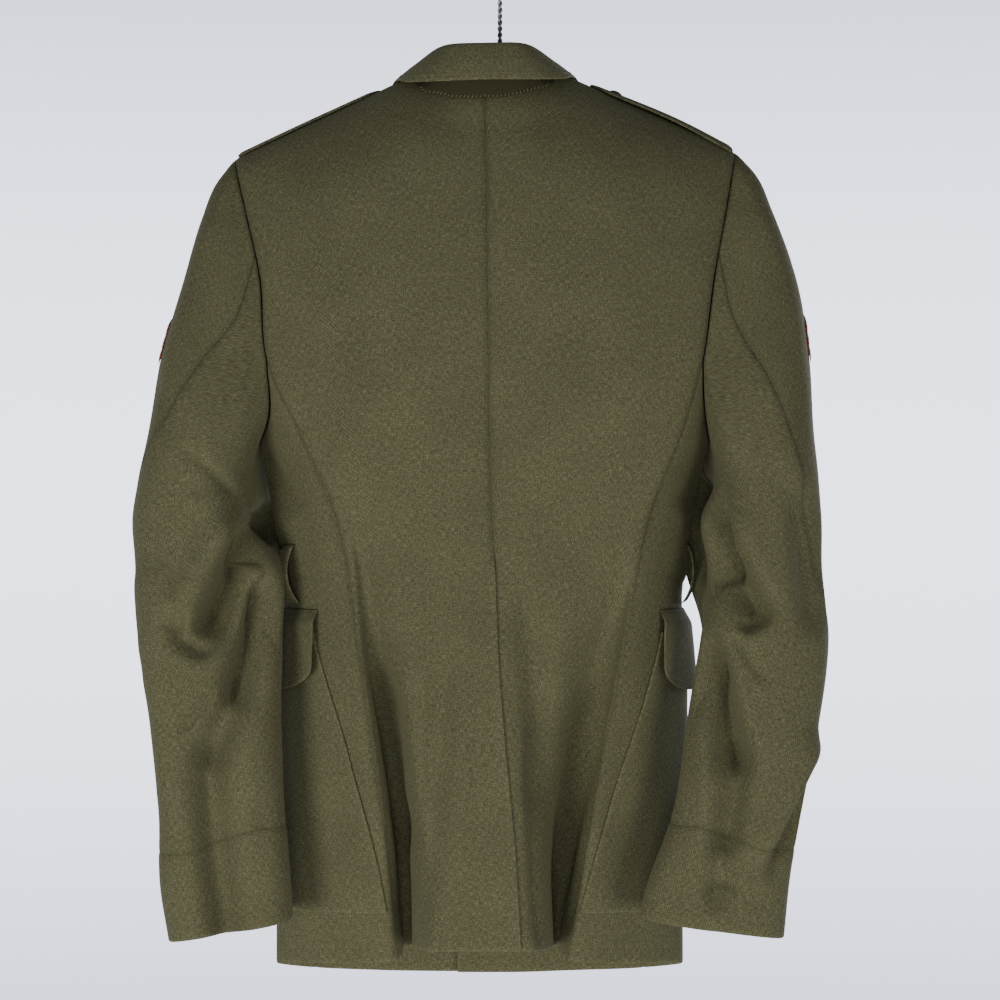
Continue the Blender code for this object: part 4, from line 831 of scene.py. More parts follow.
def sidePanels():
    rowLevels = evenLevels(centre - sideLine, 0, armholeLevel, 150, 0.0016, 0.004, 0.008)
    for side, sign in (("left", -1), ("right", 1)):
        away, level = np.meshgrid(seamLine + 2 * places(bodyCut["sideColumns"], 0.006, 0.017,
                                                        0.035), rowLevels)
        bend = ease((level - bodyShape["ventTop"]) / (armholeLevel - bodyShape["ventTop"]))
        level = level + (armholeFoot(away) - armholeLevel) * bend * (level / armholeLevel)
        # the waist seam is a soft groove across the side body
        waist = np.exp(-(((level - 3.93 - 0.12 * np.sin(away * 2)) / 0.028) ** 2))
        # and the cloth bags out a little in front of the belt loop
        bag = np.exp(-(((level - 4.1) / np.where(level > 4.1, 0.55,
                                                 0.28)) ** 2) - ((away
                                                     - 5.35) / 0.32) ** 2) * bodyCut["side"]["bag"][side]
        outer, inner = trim(*grid(centre + sign * away, level, body, bag - 0.9 * mm * waist),
                            "firstColumn", "lastColumn", "lastRow")
        outer, inner = pucker(outer, inner, "firstColumn")
        piece = clothShell(f"sideBody{side.title()}Cloth", outer, inner,
                           seams={"firstColumn": 1, "lastColumn": 1, "lastRow": 1},
                           free={"firstRow": 1})
        dress(piece, serge, "serge", f"side_body_{side}")


def frontPanels():
    rowLevels = evenLevels(1.5, 0, topLevel, 170, 0.0012, 0.003, 0.006)
    for side, start, stop in (("left", 0, 3), ("right", lastLine - 3, lastLine)):
        line, level = np.meshgrid(start + (stop - start) * places(bodyCut["frontColumns"], 0.004,
            0.011, 0.022), rowLevels)
        lift = -frontLap(line, level) if side == "right" else None
        outer, inner = trim(*grid(line, level, body, lift), "firstColumn", "lastColumn", "lastRow")
        seam, edge = ("lastColumn", "firstColumn") if side == "left" else ("firstColumn",
            "lastColumn")
        outer, inner = pucker(outer, inner, seam)
        piece = clothShell(f"front{side.title()}Cloth", outer, inner, seams={seam: 1, "lastRow": 1},
                           free={"firstRow": 1, edge: 1})
        dress(piece, serge, "serge", f"front_{side}")


backPanels()
sidePanels()
frontPanels()
print("body panels ready")

# ---- sleeves: an oval section that fans out of the armhole and hangs down to the cuff

sleeveShape = {
    "capShare": 0.42, "capFade": 1.6, "probe": 0.004, "armholeSide": 0.34, "roundness": 2.3,
    "foldRows": (0.1, 0.2), "foldFacing": (0.03, 0.37), "rows": 250,
    # the cloth under the armpit swells towards the body: where round the sleeve, how wide in turns
    "swell": {"left": (0.635, 0.085), "right": (0.668, 0.07)},
    # z: outer x, inner x, y of the middle, half depth, swell towards the body and to the front
    "left": {
        "rings": {-207: (234, 222, 0, 8, 0, 0), -227: (249, 218, 1, 26, 0, 0),
                  -260: (262, 213, 4, 40, 0, 0),
                  -314: (277, 208, 8, 50, 0, 0), -384: (296, 209, 14, 54, 0, 0),
                  -454: (307, 218, 25, 50, 6, 9),
                  -489: (314, 218, 28, 47, 25, 28), -523: (319, 214, 30, 45, 28, 30),
                  -558: (317, 194, 32, 44, 13, 22),
                  -628: (312, 188, 36, 40, 0, 0), -698: (301, 189, 40, 37, 0, 0),
                  -768: (295, 186, 42, 34, 0, 0),
                  -838: (293, 181, 44, 32, 0, 0), -900: (284, 179, 46, 31, 0, 0)},
        "levelZ": -500, "hem": (-886, -867), "cuff": (-810, -787),
        "elbow": ((0, 0.23), (0.1, 0.243), (0.21, 0.213), (0.37, 0.125), (0.46, 0.03),
                  (0.62, -0.03), (1, -0.06)),
        "inseam": ((0, 0.66), (0.3, 0.62), (1, 0.60)),
        "folds": ((205, -518, 257, -618, 43, 15, 0, 0.45), (232, -520, 280, -604, -6, 12, 0, 0),
                  (272, -600, 281, -618, 9, 8, 0, 0),
                  (282, -618, 250, -638, 10, 7, -2, 0), (186, -576, 222, -672, 33, 14, 0, -0.2),
                  (220, -664, 252, -732, 19, 15, 0, 0),
                  (254, -722, 233, -885, 24, 17, -3, 0.2), (246, -671, 272, -702, 6, 5, 0, 0),
                  (254, -500, 234, -545, -4, 14, 0, 0),
                  (306, -570, 298, -640, -4, 16, 0, 0), (232, -572, 256, -606, -3, 10, 0, 0),
                  (301, -642, 282, -775, -5, 11, 2, 0),
                  (268, -463, 227, -502, 2.6, 6, 2, 0), (300, -400, 270, -470, 1.6, 10, 3, 0),
                  (204, -760, 210, -860, 2.0, 9, 3, 0), (262, -300, 272, -400, 1.3, 14, -4, 0),
                  (300, -520, 286, -560, 1.8, 9, 2, 0)),
        "frontFolds": ((300, -560, 250, -640, 8, 14, 3, 0), (240, -600, 290, -690, 6, 14, -3, 0),
                       (250, -690, 262, -840, 5, 16, 4, 0),
                       (230, -480, 270, -540, 4, 12, 2, 0), (260, -330, 250, -440, 2, 16, 3, 0),
                       (290, -720, 276, -800, -3, 12, 2, 0)),
    },
    "right": {
        "rings": {-201: (-208, -197, 0, 8, 0, 0), -220: (-225, -193, 1, 26, 0, 0),
                  -252: (-239, -188, 4, 40, 0, 0),
                  -314: (-260, -183, 8, 50, 0, 0), -384: (-270, -183, 15, 54, 0, 0),
                  -454: (-273, -184, 28, 50, 22, 12),
                  -489: (-276, -188, 33, 47, 30, 26), -523: (-278, -175, 37, 45, 32, 28),
                  -558: (-278, -180, 40, 43, 38, 28),
                  -628: (-283, -173, 48, 38, 13, 12), -698: (-274, -160, 54, 34, 0, 0),
                  -768: (-260, -150, 58, 31, 0, 0),
                  -838: (-247, -126, 62, 29, 0, 0), -900: (-241, -112, 64, 28, 0, 0)},
        "levelZ": -500, "hem": (-880, -862), "cuff": (-805, -783),
        "elbow": ((0, 0.23), (0.07, 0.25), (0.15, 0.244), (0.29, 0.202), (0.41, 0.155),
                  (0.5, 0.115), (0.57, 0.064), (0.66, 0.0), (1, -0.06)),
        "inseam": ((0, 0.66), (0.3, 0.62), (1, 0.60)),
        "folds": ((-172, -494, -186, -568, 32, 13, 0, 0), (-188, -562, -222, -604, 24, 15, 0, 0),
                  (-204, -614, -230, -602, 8, 6, -3, 0),
                  (-258, -500, -270, -612, 11, 14, 0, 0),
                  (-270, -712, -224, -806, -10, 12, 0, -0.5), (-280, -728, -234, -818, 12, 8, 0, 0),
                  (-175, -630, -203, -728, 30, 15, 0, -0.35),
                  (-207, -720, -192, -800, 18, 12, 0, -0.3), (-190, -790, -182, -850, 9, 11, 0, 0),
                  (-201, -624, -224, -658, 4, 5, 0, 0), (-206, -520, -232, -590, -4, 11, 0, 0),
                  (-172, -650, -176, -780, -4, 8, 0, 0),
                  (-177, -837, -203, -837, 5, 4.5, 7, 0), (-230, -250, -236, -290, 1.8, 12, 2, 0),
                  (-236, -330, -246, -380, 1.8, 12, 2, 0),
                  (-214, -420, -240, -500, 1.6, 12, -3, 0), (-240, -820, -214, -850, 1.6, 10, 2, 0),
                  (-160, -760, -150, -850, 1.6, 9, -2, 0)),
        "frontFolds": ((-262, -560, -214, -640, 8, 14, -3, 0),
                       (-210, -600, -258, -690, 6, 14, 3, 0),
                       (-222, -690, -200, -840, 5, 16, -4, 0),
                       (-200, -480, -240, -540, 4, 12, -2, 0),
                       (-226, -330, -216, -440, 2, 16, -3, 0),
                       (-244, -720, -226, -800, -3, 12, 2, 0)),
    },
}


def armholeTable(side):
    # the armhole read once at 2400 turns: place, body normal, direction that leads off the body
    sign = -1 if side == "left" else 1
    share = sleeveShape["armholeSide"]

    def place(turn):
        turn = np.mod(turn, 1.0)
        down, up = np.clip(turn / share, 0, 1), np.clip((1 - turn) / share, 0, 1)
        away = sideLine + np.clip((turn - share) / (1 - 2 * share), 0, 1) * 2 - 1
        sides = topLevel - (topLevel - armholeLevel) * np.minimum(down, up)
        return smoothBody(centre + sign * away,
                          np.where((down >= 1) & (up >= 1), armholeFoot(away), sides))

    turns = np.linspace(0, 1, 2401)
    points, normal = place(turns)
    off = unit(np.cross(place(turns + sleeveShape["probe"])[0]
                        - place(turns - sleeveShape["probe"])[0], normal))
    middle = np.mean(place(np.linspace(0, 1, 20, endpoint=False))[0], axis=0)
    off *= np.sign(np.sum(off * (middle - points), axis=1, keepdims=True))
    return turns, np.concatenate([points, off], axis=1)


armholes = {side: armholeTable(side) for side in ("left", "right")}


def armholeLoop(side, turn):
    turns, table = armholes[side]
    read = np.stack([np.interp(np.mod(turn, 1.0), turns, column) for column in table.T], axis=-1)
    return read[..., :3], read[..., 3:]


def sleeveRing(side, turn, z):
    # superellipse |cos|^(2/n), |sin|^(2/n) of the section at height z; turn 0 is its outer side.
    # The swell adds size x exp(-((turn - place) / width)^2) towards the body and the front.
    rings = sleeveShape[side]["rings"]
    heights = np.array(list(rings), float)[::-1] * mm
    values = np.array(list(rings.values()), float)[::-1] * mm
    outer, inner, middle, depth, over, ahead = (smoothRead(heights, column,
        z) for column in values.T)
    angle = 2 * np.pi * turn
    cos, sin = np.cos(angle), np.sin(angle)
    cos = np.sign(cos) * np.abs(cos) ** (2 / sleeveShape["roundness"])
    sin = np.sign(sin) * np.abs(sin) ** (2 / sleeveShape["roundness"])
    place, width = sleeveShape["swell"][side]
    swell = np.exp(-(((np.mod(turn, 1.0) - place) / width) ** 2))
    x = (outer + inner) / 2 + (outer - inner) / 2 * cos + np.sign(inner - outer) * over * swell
    return np.stack([x, middle + depth * sin - ahead * swell, z], axis=-1)


def around(turn, outer, inner):
    return inner + (outer - inner) * (0.5 + 0.5 * np.cos(2 * np.pi * turn))


def sleeveSurface(side):
    shape = sleeveShape[side]
    levelZ = shape["levelZ"] * mm
    sign = -1 if side == "left" else 1
    cap = sleeveShape["capShare"]

    def raw(turn, row):
        start, off = armholeLoop(side, turn)
        start = start + off * seamGap / 2
        fan = np.clip(row / cap, 0, 1)
        rest = np.maximum((row - cap) / (1 - cap), 0)
        z = start[:, 2] + (levelZ - start[:, 2]) * fan + (around(turn,
            *shape["hem"]) * mm - levelZ) * rest
        miss = start - sleeveRing(side, turn, start[:, 2])
        return sleeveRing(side, turn, z) + miss * ((1 - fan) ** sleeveShape["capFade"])[:, None]

    def surface(turn, row):
        points = raw(turn, row)
        normal = sign * slopesNormal(raw, turn, row, sleeveShape["probe"], sleeveShape["probe"])
        push = trough(points, normal[:, 1], shape["folds"], sleeveShape["foldFacing"])
        push += trough(points, -normal[:, 1], shape["frontFolds"]) + unevenness(points) * 1.3
        push *= ease((row - sleeveShape["foldRows"][0]) / sleeveShape["foldRows"][1])
        return points - push[:, None] * normal, normal

    return surface


def cuffRow(side, turn):
    # the cuff's seam steps from its outer to its inner height within a few centimetres
    shape = sleeveShape[side]
    hem = around(turn, *shape["hem"])
    outer, inner = shape["cuff"]
    cuff = inner + (outer - inner) * ease(ease(0.5 + 0.5 * np.cos(2 * np.pi * turn)))
    return sleeveShape["capShare"] + (1 - sleeveShape["capShare"]) * (cuff
        - shape["levelZ"]) / (hem - shape["levelZ"])


sleeveCut = {
    "under_sleeve": {"flat": (0.300, 0.430), "area": 0.086, "columns": 84},
    "top_sleeve": {"flat": (0.340, 0.640), "area": 0.098, "columns": 86},
    "cuff": {"flat": (0.320, 0.100), "area": 0.029},
}


def sleeves():
    for side in ("left", "right"):
        surface = sleeveSurface(side)
        shape = sleeveShape[side]
        elbow, inseam = np.array(shape["elbow"], float).T, np.array(shape["inseam"], float).T
        rowShares = places(sleeveShape["rows"], 0.0015, 0.004, 0.008)
        title = side.title()
        for node, start, stop, past in (("under_sleeve", elbow, inseam, 0),
                                        ("top_sleeve", inseam, elbow, 1)):
            across, rows = np.meshgrid(places(sleeveCut[node]["columns"], 0.006, 0.016, 0.032),
                                       rowShares)
            turn = smoothRead(*start,
                              rows) * (1 - across) + (smoothRead(*stop, rows) + past) * across
            rows = rows * cuffRow(side, turn[-1])[None, :]
            outer, inner = grid(turn, rows, surface)
            # the first rim leans off the body's rim and never into it
            _, off = armholeLoop(side, turn[0])
            lean = inner[0] - outer[0]
            into = np.minimum(np.sum(lean * off, axis=1, keepdims=True), 0)
            inner[0] = outer[0] + unit(lean - into * off) * wall
            trim(outer, inner, "firstColumn", "lastColumn", "lastRow")
            outer, inner = pucker(outer, inner,
                                  "firstColumn" if node == "under_sleeve" else "lastColumn", 0.2,
                                  19)
            name = ("underSleeve" if node == "under_sleeve" else "topSleeve") + title + "Cloth"
            piece = clothShell(name, outer, inner,
                               seams={"firstColumn": 1, "lastColumn": 1, "firstRow": 1,
                                      "lastRow": 0.5}, hem="lastRow")
            dress(piece, serge, "serge", f"{node}_{side}")
        turn = np.linspace(0, 1, 130, endpoint=False)[None, :]
        start = cuffRow(side, turn)
        rows = start + (1 - start) * places(24, 0.01, 0.025, 0.05)[:, None]
        outer, inner = trim(*grid(np.broadcast_to(turn, rows.shape), rows, surface,
                                  np.full(rows.shape, 0.25 * mm)), "firstRow")
        piece = clothShell(f"cuff{title}Cloth", outer, inner, wraps=True, seams={"firstRow": 0.5},
                           free={"lastRow": 1}, hem="lastRow")
        dress(piece, serge, "serge", f"cuff_{side}")


sleeves()
print("sleeves ready")

# ---- collar and lapels

collarShape = {
    "middle": 13, "wall": 2.2 * mm, "tilt": 0.02, "lipIn": 5 * mm, "lipDown": 6 * mm,
    "swell": 2 * mm,
    "seatUp": 0.9 * mm, "seatIn": 1.0 * mm, "join": 2.4 * mm, "columns": 150, "lapEnd": (3.3, 0.9),
    "lap": ((-3, 0.7), (-2, 1.05), (-1, 0.85), (0, 0.3), (1, 0.95), (2, 1.1), (3, 0.7)),
    # line or level of the neck seam, then fold and outer edge as out from the middle, y, z
    "guides": (
        ("across", 0.0, (0, 51, -112), (0, 57, -144)),
        ("across", 0.45, (31, 46, -112), (42, 53, -144)),
        ("across", 0.8, (43, 28, -114), (68, 34, -141)),
        ("across", 1.0, (47, 4, -120), (79, 5, -135.5)),
        ("down", 10.5, (48, -20, -130), (86, -25, -145)),
        ("down", 9.9, (48, -44, -150), (90, -56, -166)),
        ("down", 9.35, (46, -58, -182), (92, -75, -199)),
    ),
    "fallFlat": (0.460, 0.055), "fallArea": 0.0215,
    "standFlat": (0.350, 0.040), "standArea": 0.0085,
}


def collarGuides(spots):
    guides = ([], [], [])
    for sign in (1, -1):
        half = ([], [], [])
        for kind, where, fold, edge in collarShape["guides"]:
            line = centre - sign * (where if kind == "across" else frontEdge)
            level = topLevel if kind == "across" else where
            half[0].append(smoothBody(np.array([float(line)]), np.array([float(level)]))[0][0])
            for row, (out, y, z) in ((1, fold), (2, edge)):
                half[row].append(np.array([collarShape["middle"] + sign * out, y,
                                           z - sign * out * collarShape["tilt"]]) * mm)
        for guide, points in zip(guides, half):
            guide.append(points)
    return [through(np.array(right[::-1] + left[1:]), spots + 6) for left, right in guides]


def wallBetween(rows, thick, into):
    # inner face of a wall on a grid of points, thickened towards the points into
    normal = unit(np.cross(np.gradient(rows, axis=1), np.gradient(rows, axis=0)))
    if np.sum(normal * (into[None] - rows)) > 0:
        normal = -normal
    return rows - thick * normal


def collar():
    seam, fold, edge = collarGuides(np.linspace(-6, 6, collarShape["columns"]))
    out = edge - fold
    out[:, 2] = 0
    out = unit(out)
    up = np.array([0, 0, 1.0])
    lip = fold - out * collarShape["lipIn"] - up * collarShape["lipDown"]
    swell = (fold + edge) / 2 + (out + up) * collarShape["swell"]
    rows = through(np.array([lip, fold, swell, edge]), 3 * places(26, 0.01, 0.025))
    inner = wallBetween(rows, collarShape["wall"], lip - up * 2 * collarShape["lipDown"])
    fall = clothShell("collarFallCloth", rows, inner,
                      free={"lastRow": 1, "firstColumn": 1, "lastColumn": 1},
                      seams={"firstRow": 0.5})
    dress(fall, serge, "serge", "collar_fall")
    stitches("collarEdgeStitches", "serge", "collar_fall", *inset(rows, inner, "lastRow", 5 * mm))
    foot = seam + up * collarShape["seatUp"] - out * collarShape["seatIn"]
    # behind the neck the felt laps over the back's upper edge and is felled down on it
    place = np.linspace(-6, 6, collarShape["columns"])
    line = centre - np.sign(place) * np.interp(np.abs(place), (0, 1, 2, 3), (0, 0.45, 0.8, 1))
    lapped, face = smoothBody(line, topLevel - np.interp(place, *np.array(collarShape["lap"]).T))
    lapped = lapped + face * (collarShape["wall"] + layGap)
    end, fade = collarShape["lapEnd"]
    foot = foot + (lapped - foot) * ease((end - np.abs(place)) / fade)[:, None]
    head = lip - up * collarShape["join"]
    middle = (foot + head) / 2 + out * collarShape["swell"] / 2
    rows = through(np.array([foot, middle, head]), 2 * places(14, 0.02, 0.05))
    inner = wallBetween(rows, collarShape["wall"], fold - out * 40 * mm)
    stand = clothShell("collarStandFelt", rows, inner, seams={"firstRow": 0.6})
    dress(stand, felt, "serge", "collar_stand")
    # small slanting stitches fell the felt down to the cloth
    line, upward = inset(rows, inner, "firstRow", 1.2 * mm)
    behind = np.abs(place) < 2.3
    stitches("collarFellStitches", "serge", "collar_stand", line[behind], upward[behind], 3.6 * mm,
             2.8 * mm, 62)


def patch(side, away, level, lift, thick):
    # a piece that lies on the body, at lines counted from centre back
    return grid(centre + (-1 if side == "left" else 1) * away, level, body, lift + thick, thick)


lapelShape = {"foot": 6.78, "top": 9.3, "lines": 1.75, "roll": 2.2 * mm, "slant": 0.38,
              "widest": 0.8, "least": 0.06, "flat": (0.125, 0.245), "area": 0.0155}


def lapels():
    for side in ("left", "right"):
        across, up = np.meshgrid(places(26, 0.01, 0.025), places(60, 0.005, 0.012))
        level = lapelShape["foot"] + (lapelShape["top"] - lapelShape["foot"]) * up
        width = lapelShape["lines"] * (lapelShape["least"]
                                       + (1 - lapelShape["least"])
                                       * ease(up / lapelShape["widest"]))
        away = frontEdge - across * width
        level = level - across * up**4 * lapelShape["slant"]
        lift = layGap + lapelShape["roll"] * np.sin(np.pi * np.clip(across * 1.2, 0, 1))
        outer, inner = patch(side, away, level, lift, wall)
        piece = clothShell(f"lapel{side.title()}Cloth", outer, inner,
                           free={"firstColumn": 0.5, "lastColumn": 1, "lastRow": 1, "firstRow": 1})
        dress(piece, serge, "serge", f"lapel_{side}")
        stitches(f"lapel{side.title()}Stitches", "serge", f"lapel_{side}",
                 *inset(outer, inner, "lastColumn", 5 * mm))


collar()
lapels()
print("collar and lapels ready")

# ---- pockets, flaps, belt loops, shoulder straps

pocketShape = {
    "rearTop": 4.46, "rearFoot": 4.07, "front": 7.7, "top": 3.3, "foot": 0.42, "swell": 3.0 * mm,
    "flapRear": 4.42, "flapFront": 7.8, "flapTop": 3.56, "flapFoot": 2.62, "flapCorner": 24 * mm,
    "flapStand": 5.0 * mm, "flapStep": 0.22,
    "pocketFlat": (0.290, 0.275), "pocketArea": 0.0740, "flapFlat": (0.285, 0.090),
    "flapArea": 0.0205,
}


def pockets():
    shape = pocketShape
    for side in ("left", "right"):
        title = side.title()
        across, up = np.meshgrid(places(50, 0.004, 0.01), places(62, 0.004, 0.01))
        rear = shape["rearFoot"] + (shape["rearTop"] - shape["rearFoot"]) * up
        away = rear + (shape["front"] - rear) * across
        level = shape["foot"] + (shape["top"] - shape["foot"]) * up
        lift = layGap + shape["swell"] * np.sin(np.pi * across) * np.sin(np.pi * up)
        outer, inner = patch(side, away, level, lift, wall)
        pocket = clothShell(f"pocket{title}Cloth", outer, inner,
                            free={"firstColumn": 1, "lastColumn": 1, "firstRow": 1, "lastRow": 1})
        dress(pocket, serge, "serge", f"pocket_{side}")

        # lower corners are quarter circles; the flap steps over the pocket and stands off at its foot
        fine = np.sort(np.concatenate([places(44), 0.1 * np.linspace(0, 1, 9)[1:-1] ** 2,
                                       1 - 0.1 * np.linspace(0, 1, 9)[1:-1] ** 2]))
        across, up = np.meshgrid(fine, places(26, 0.01, 0.025))
        away = shape["flapRear"] + (shape["flapFront"] - shape["flapRear"]) * across
        fromEnd = np.minimum(across, 1 - across) * 0.205
        corner = 1 - np.sqrt(np.clip(1 - (1 - np.clip(fromEnd / shape["flapCorner"], 0, 1)) ** 2, 0,
                                     1))
        level = shape["flapFoot"] + (shape["flapTop"]
                                     - shape["flapFoot"]) * up + corner * (shape["flapCorner"] / 0.0765) * (1 - up)
        over = shape["swell"] + wall + layGap
        lift = layGap + over * ease((1 - up) / shape["flapStep"]) + shape["flapStand"] * (1
            - up) ** 2
        outer, inner = patch(side, away, level, lift, wall)
        flap = clothShell(f"pocketFlap{title}Cloth", outer, inner, rim=doubleRim,
                          free={"firstColumn": 1, "lastColumn": 1, "firstRow": 1},
                          seams={"lastRow": 1})
        dress(flap, serge, "serge", f"pocket_flap_{side}")
        line, upward = inset(outer, inner, "firstRow", 5.5 * mm)
        clear = slice(*np.searchsorted(across[0], (0.022, 0.978)))
        stitches(f"pocketFlap{title}Stitches", "serge", f"pocket_flap_{side}", line[clear],
                 upward[clear])


loopShape = {"left": 4.67, "right": 4.88, "halfLines": 0.065, "top": -545, "foot": -597,
             "bow": 10.0 * mm, "flat": (0.013, 0.060), "area": 0.00075,
             "turned": {"left": 5.0 * mm, "right": 0}, "sway": {"left": 0.04, "right": 0}}
# along the shoulder seam, in lines from centre back; middle is how far its middle lies behind the seam
strapShape = {"from": 3.93, "to": 1.5, "middle": {"left": -14.0, "right": -9.0}, "halfWidth": 22.0,
              "endHalfWidth": 18.0, "wall": 2.2 * mm,
              "seat": 0.7 * mm, "bow": {"left": 0.4 * mm, "right": 2.4 * mm}, "roundShare": 0.12,
              "roll": 25.0, "flat": (0.044, 0.137), "area": 0.0055}


def levelOf(z):
    heights = [-918] + list(bodyShape["levelZ"].values())
    return np.interp(z, heights, np.arange(len(heights)))


def beltLoops():
    for side in ("left", "right"):
        up, across = np.meshgrid(places(40, 0.01, 0.025), np.linspace(-1, 1, 9), indexing="ij")
        away = loopShape[side] + across * loopShape["halfLines"] + loopShape["sway"][side] * np.sin(np.pi * up)
        level = levelOf(loopShape["foot"] + (loopShape["top"] - loopShape["foot"]) * up)
        lift = layGap + (loopShape["bow"]
                         + loopShape["turned"][side] * (across + 1) / 2) * np.sin(np.pi * up) ** 0.7
        outer, inner = patch(side, away, level, lift, wall)
        piece = clothShell(f"beltLoop{side.title()}Cloth", outer, inner, rim=doubleRim,
                           free={"firstColumn": 1, "lastColumn": 1},
                           seams={"firstRow": 1, "lastRow": 1})
        dress(piece, serge, "serge", f"belt_loop_{side}")


buttonShape = {"small": (7.5 * mm, 3.6 * mm), "large": (10.0 * mm, 4.5 * mm),
               # shares of radius and height over the back, the rolled rim and the dome
               "profile": ((0.3, 0.0), (0.62, 0.0), (0.85, 0.1), (0.95, 0.24), (1.0, 0.42),
                           (0.98, 0.52), (0.93, 0.56),
                           (0.87, 0.55), (0.83, 0.58), (0.72, 0.74), (0.56, 0.88), (0.36, 0.96),
                           (0.16, 0.995)),
               "worn": (0, 0, 0, 0.3, 1, 1, 0.8, 0.1, 0, 0.2, 0.4, 0.7, 0.8)}


def button(name, node, place, axis, size):
    # profile turned round the axis, closed by a point at each end
    radius, height = buttonShape[size]
    side = unit(np.cross(axis, [0.3, 0.2, 1.0]))
    other = np.cross(axis, side)
    turn = np.linspace(0, 2 * np.pi, 48, endpoint=False)
    spokes = np.outer(np.cos(turn), side) + np.outer(np.sin(turn), other)
    profile = np.array(buttonShape["profile"])
    rings = place + profile[:, None, :1] * radius * spokes[None] + profile[:, None,
        1:] * height * axis
    points = np.concatenate([rings.reshape(-1, 3), [place, place + axis * height]])
    index = np.arange(len(profile) * 48).reshape(len(profile), 48)
    after = np.roll(index, -1, axis=1)
    quads = np.stack([index[:-1], after[:-1], after[1:], index[1:]], axis=-1).reshape(-1, 4)
    foot, top = len(points) - 2, len(points) - 1
    capFoot = np.stack([after[0], index[0], np.full(48, foot), np.full(48, foot)], axis=-1)
    capTop = np.stack([index[-1], after[-1], np.full(48, top), np.full(48, top)], axis=-1)
    faces = np.concatenate([quads, capFoot, capTop])
    worn = np.concatenate([np.repeat(buttonShape["worn"], 48), [0, 0.8]])
    piece = newMesh(name, points, faces, marks={"wearMark": worn})
    return dress(piece, bronze, "button_bronze", node)


def overShoulder(side, away, behind):
    # shoulder cloth at lines from centre back and millimetres behind the shoulder seam
    sign = -1 if side == "left" else 1
    line = np.where(behind >= 0, away, 2 * sideLine - away)
    return body(centre + sign * line, topLevel - np.abs(behind) / strapShape["roll"])


def shoulderStraps():
    # a double strap over the shoulder seam: sewn in at the armhole, round at the end by the neck
    for side in ("left", "right"):
        strap = strapShape
        along, across = np.meshgrid(places(90, 0.004, 0.012, 0.025), places(26, 0.01, 0.03) * 2 - 1,
                                    indexing="ij")
        away = strap["from"] + (strap["to"] - strap["from"]) * along
        half = strap["halfWidth"] + (strap["endHalfWidth"] - strap["halfWidth"]) * along
        half = half * np.sqrt(0.25 + 0.75 * np.clip((1 - along) / strap["roundShare"], 0, 1))
        lift = strap["seat"] + strap["bow"][side] * np.sin(np.pi * along)
        surface = lambda line, behind: overShoulder(side, line, behind)
        outer, inner = grid(away, strap["middle"][side] + half * across, surface,
                            lift + strap["wall"], strap["wall"])
        piece = clothShell(f"shoulderStrap{side.title()}Cloth", outer, inner, rim=doubleRim,
                           free={"firstColumn": 1, "lastColumn": 1, "lastRow": 1},
                           seams={"firstRow": 1}, grainTurn=90)
        dress(piece, serge, "serge", f"epaulette_{side}")
        nearTip = np.argmin(np.abs(along[:, 0] - 5 / 6))
        tip, upward = surface(away[nearTip, :1], np.array([strap["middle"][side]]))
        button(f"strapButton{side.title()}", f"epaulette_button_{side}",
               tip[0] + upward[0] * (lift[nearTip, 0] + strap["wall"] + 2 * layGap), upward[0],
               "small")


def frontButtons():
    for number, level in enumerate((5.75, 4.35, 2.95), 1):
        point, normal = body(np.array([0.28]), np.array([level]))
        button(f"frontButton{number}", f"front_button_{number}", point[0] + normal[0] * layGap * 2,
               normal[0], "large")


chevronShape = {"row": 0.165, "rows": 0.0015, "middle": -0.125, "halfTurn": 0.155, "rise": 30.0,
                "height": 33.0, "wall": 1.4 * mm, "bars": 3, "flat": (0.165, 0.065), "area": 0.0046}


def chevrons():
    # plain bars of braid on a backing: each bar is a low arch, with a narrow gap between bars
    for side in ("left", "right"):
        shape = chevronShape
        across, up = np.meshgrid(places(60, 0.006) * 2 - 1, places(40, 0.012))
        turn = shape["middle"] + across * shape["halfTurn"]
        row = shape["row"] + (np.sqrt(across**2 + 0.0016) * shape["rise"]
                              + up * shape["height"]) * shape["rows"]
        bar = np.abs(np.sin(np.pi * shape["bars"] * up))
        lift = layGap + shape["wall"] * (0.35 + 0.65 * bar**0.5)
        surface = sleeveSurface(side)
        outer, inner = grid(turn, row, surface, lift, shape["wall"])
        inner = outer - (outer - inner) * (lift - layGap)[..., None] / shape["wall"]
        piece = clothShell(f"chevrons{side.title()}Braid", outer, inner,
                           free={"firstRow": 1, "lastRow": 1, "firstColumn": 1, "lastColumn": 1})
        # the gaps between bars get painted shade, a darker red in the braid
        gaps = np.zeros(len(piece.data.vertices))
        gaps[:bar.size] = ease((0.45 - bar.ravel()) / 0.35)
        piece.data.attributes["paintedGrooveShade"].data.foreach_set("value", gaps.astype(np.float32))
        dress(piece, braid, "red_braid", f"chevrons_{side}")


pockets()
beltLoops()
shoulderStraps()
frontButtons()
chevrons()
print("pieces sewn on ready")

# ---- hanger

hangerShape = {
    "wire": 1.3 * mm, "hookRadius": 21 * mm, "hookStart": -70.0, "hookTurn": 265.0,
    "twistPitch": 11 * mm, "twistRadius": 1.12 * mm, "foot": -124.4, "head": -62.0, "apex": -126.0,
    # line, and distance from the shoulder cloth down to the wire
    "path": ((1.05, 9.0), (1.5, 5.6), (2.0, 4.6), (2.6, 4.3), (3.1, 4.3), (3.5, 4.3)),
    "corner": ((6, -4), (8.5, -9), (6, -14), (0, -16), (-30, -16)),
}


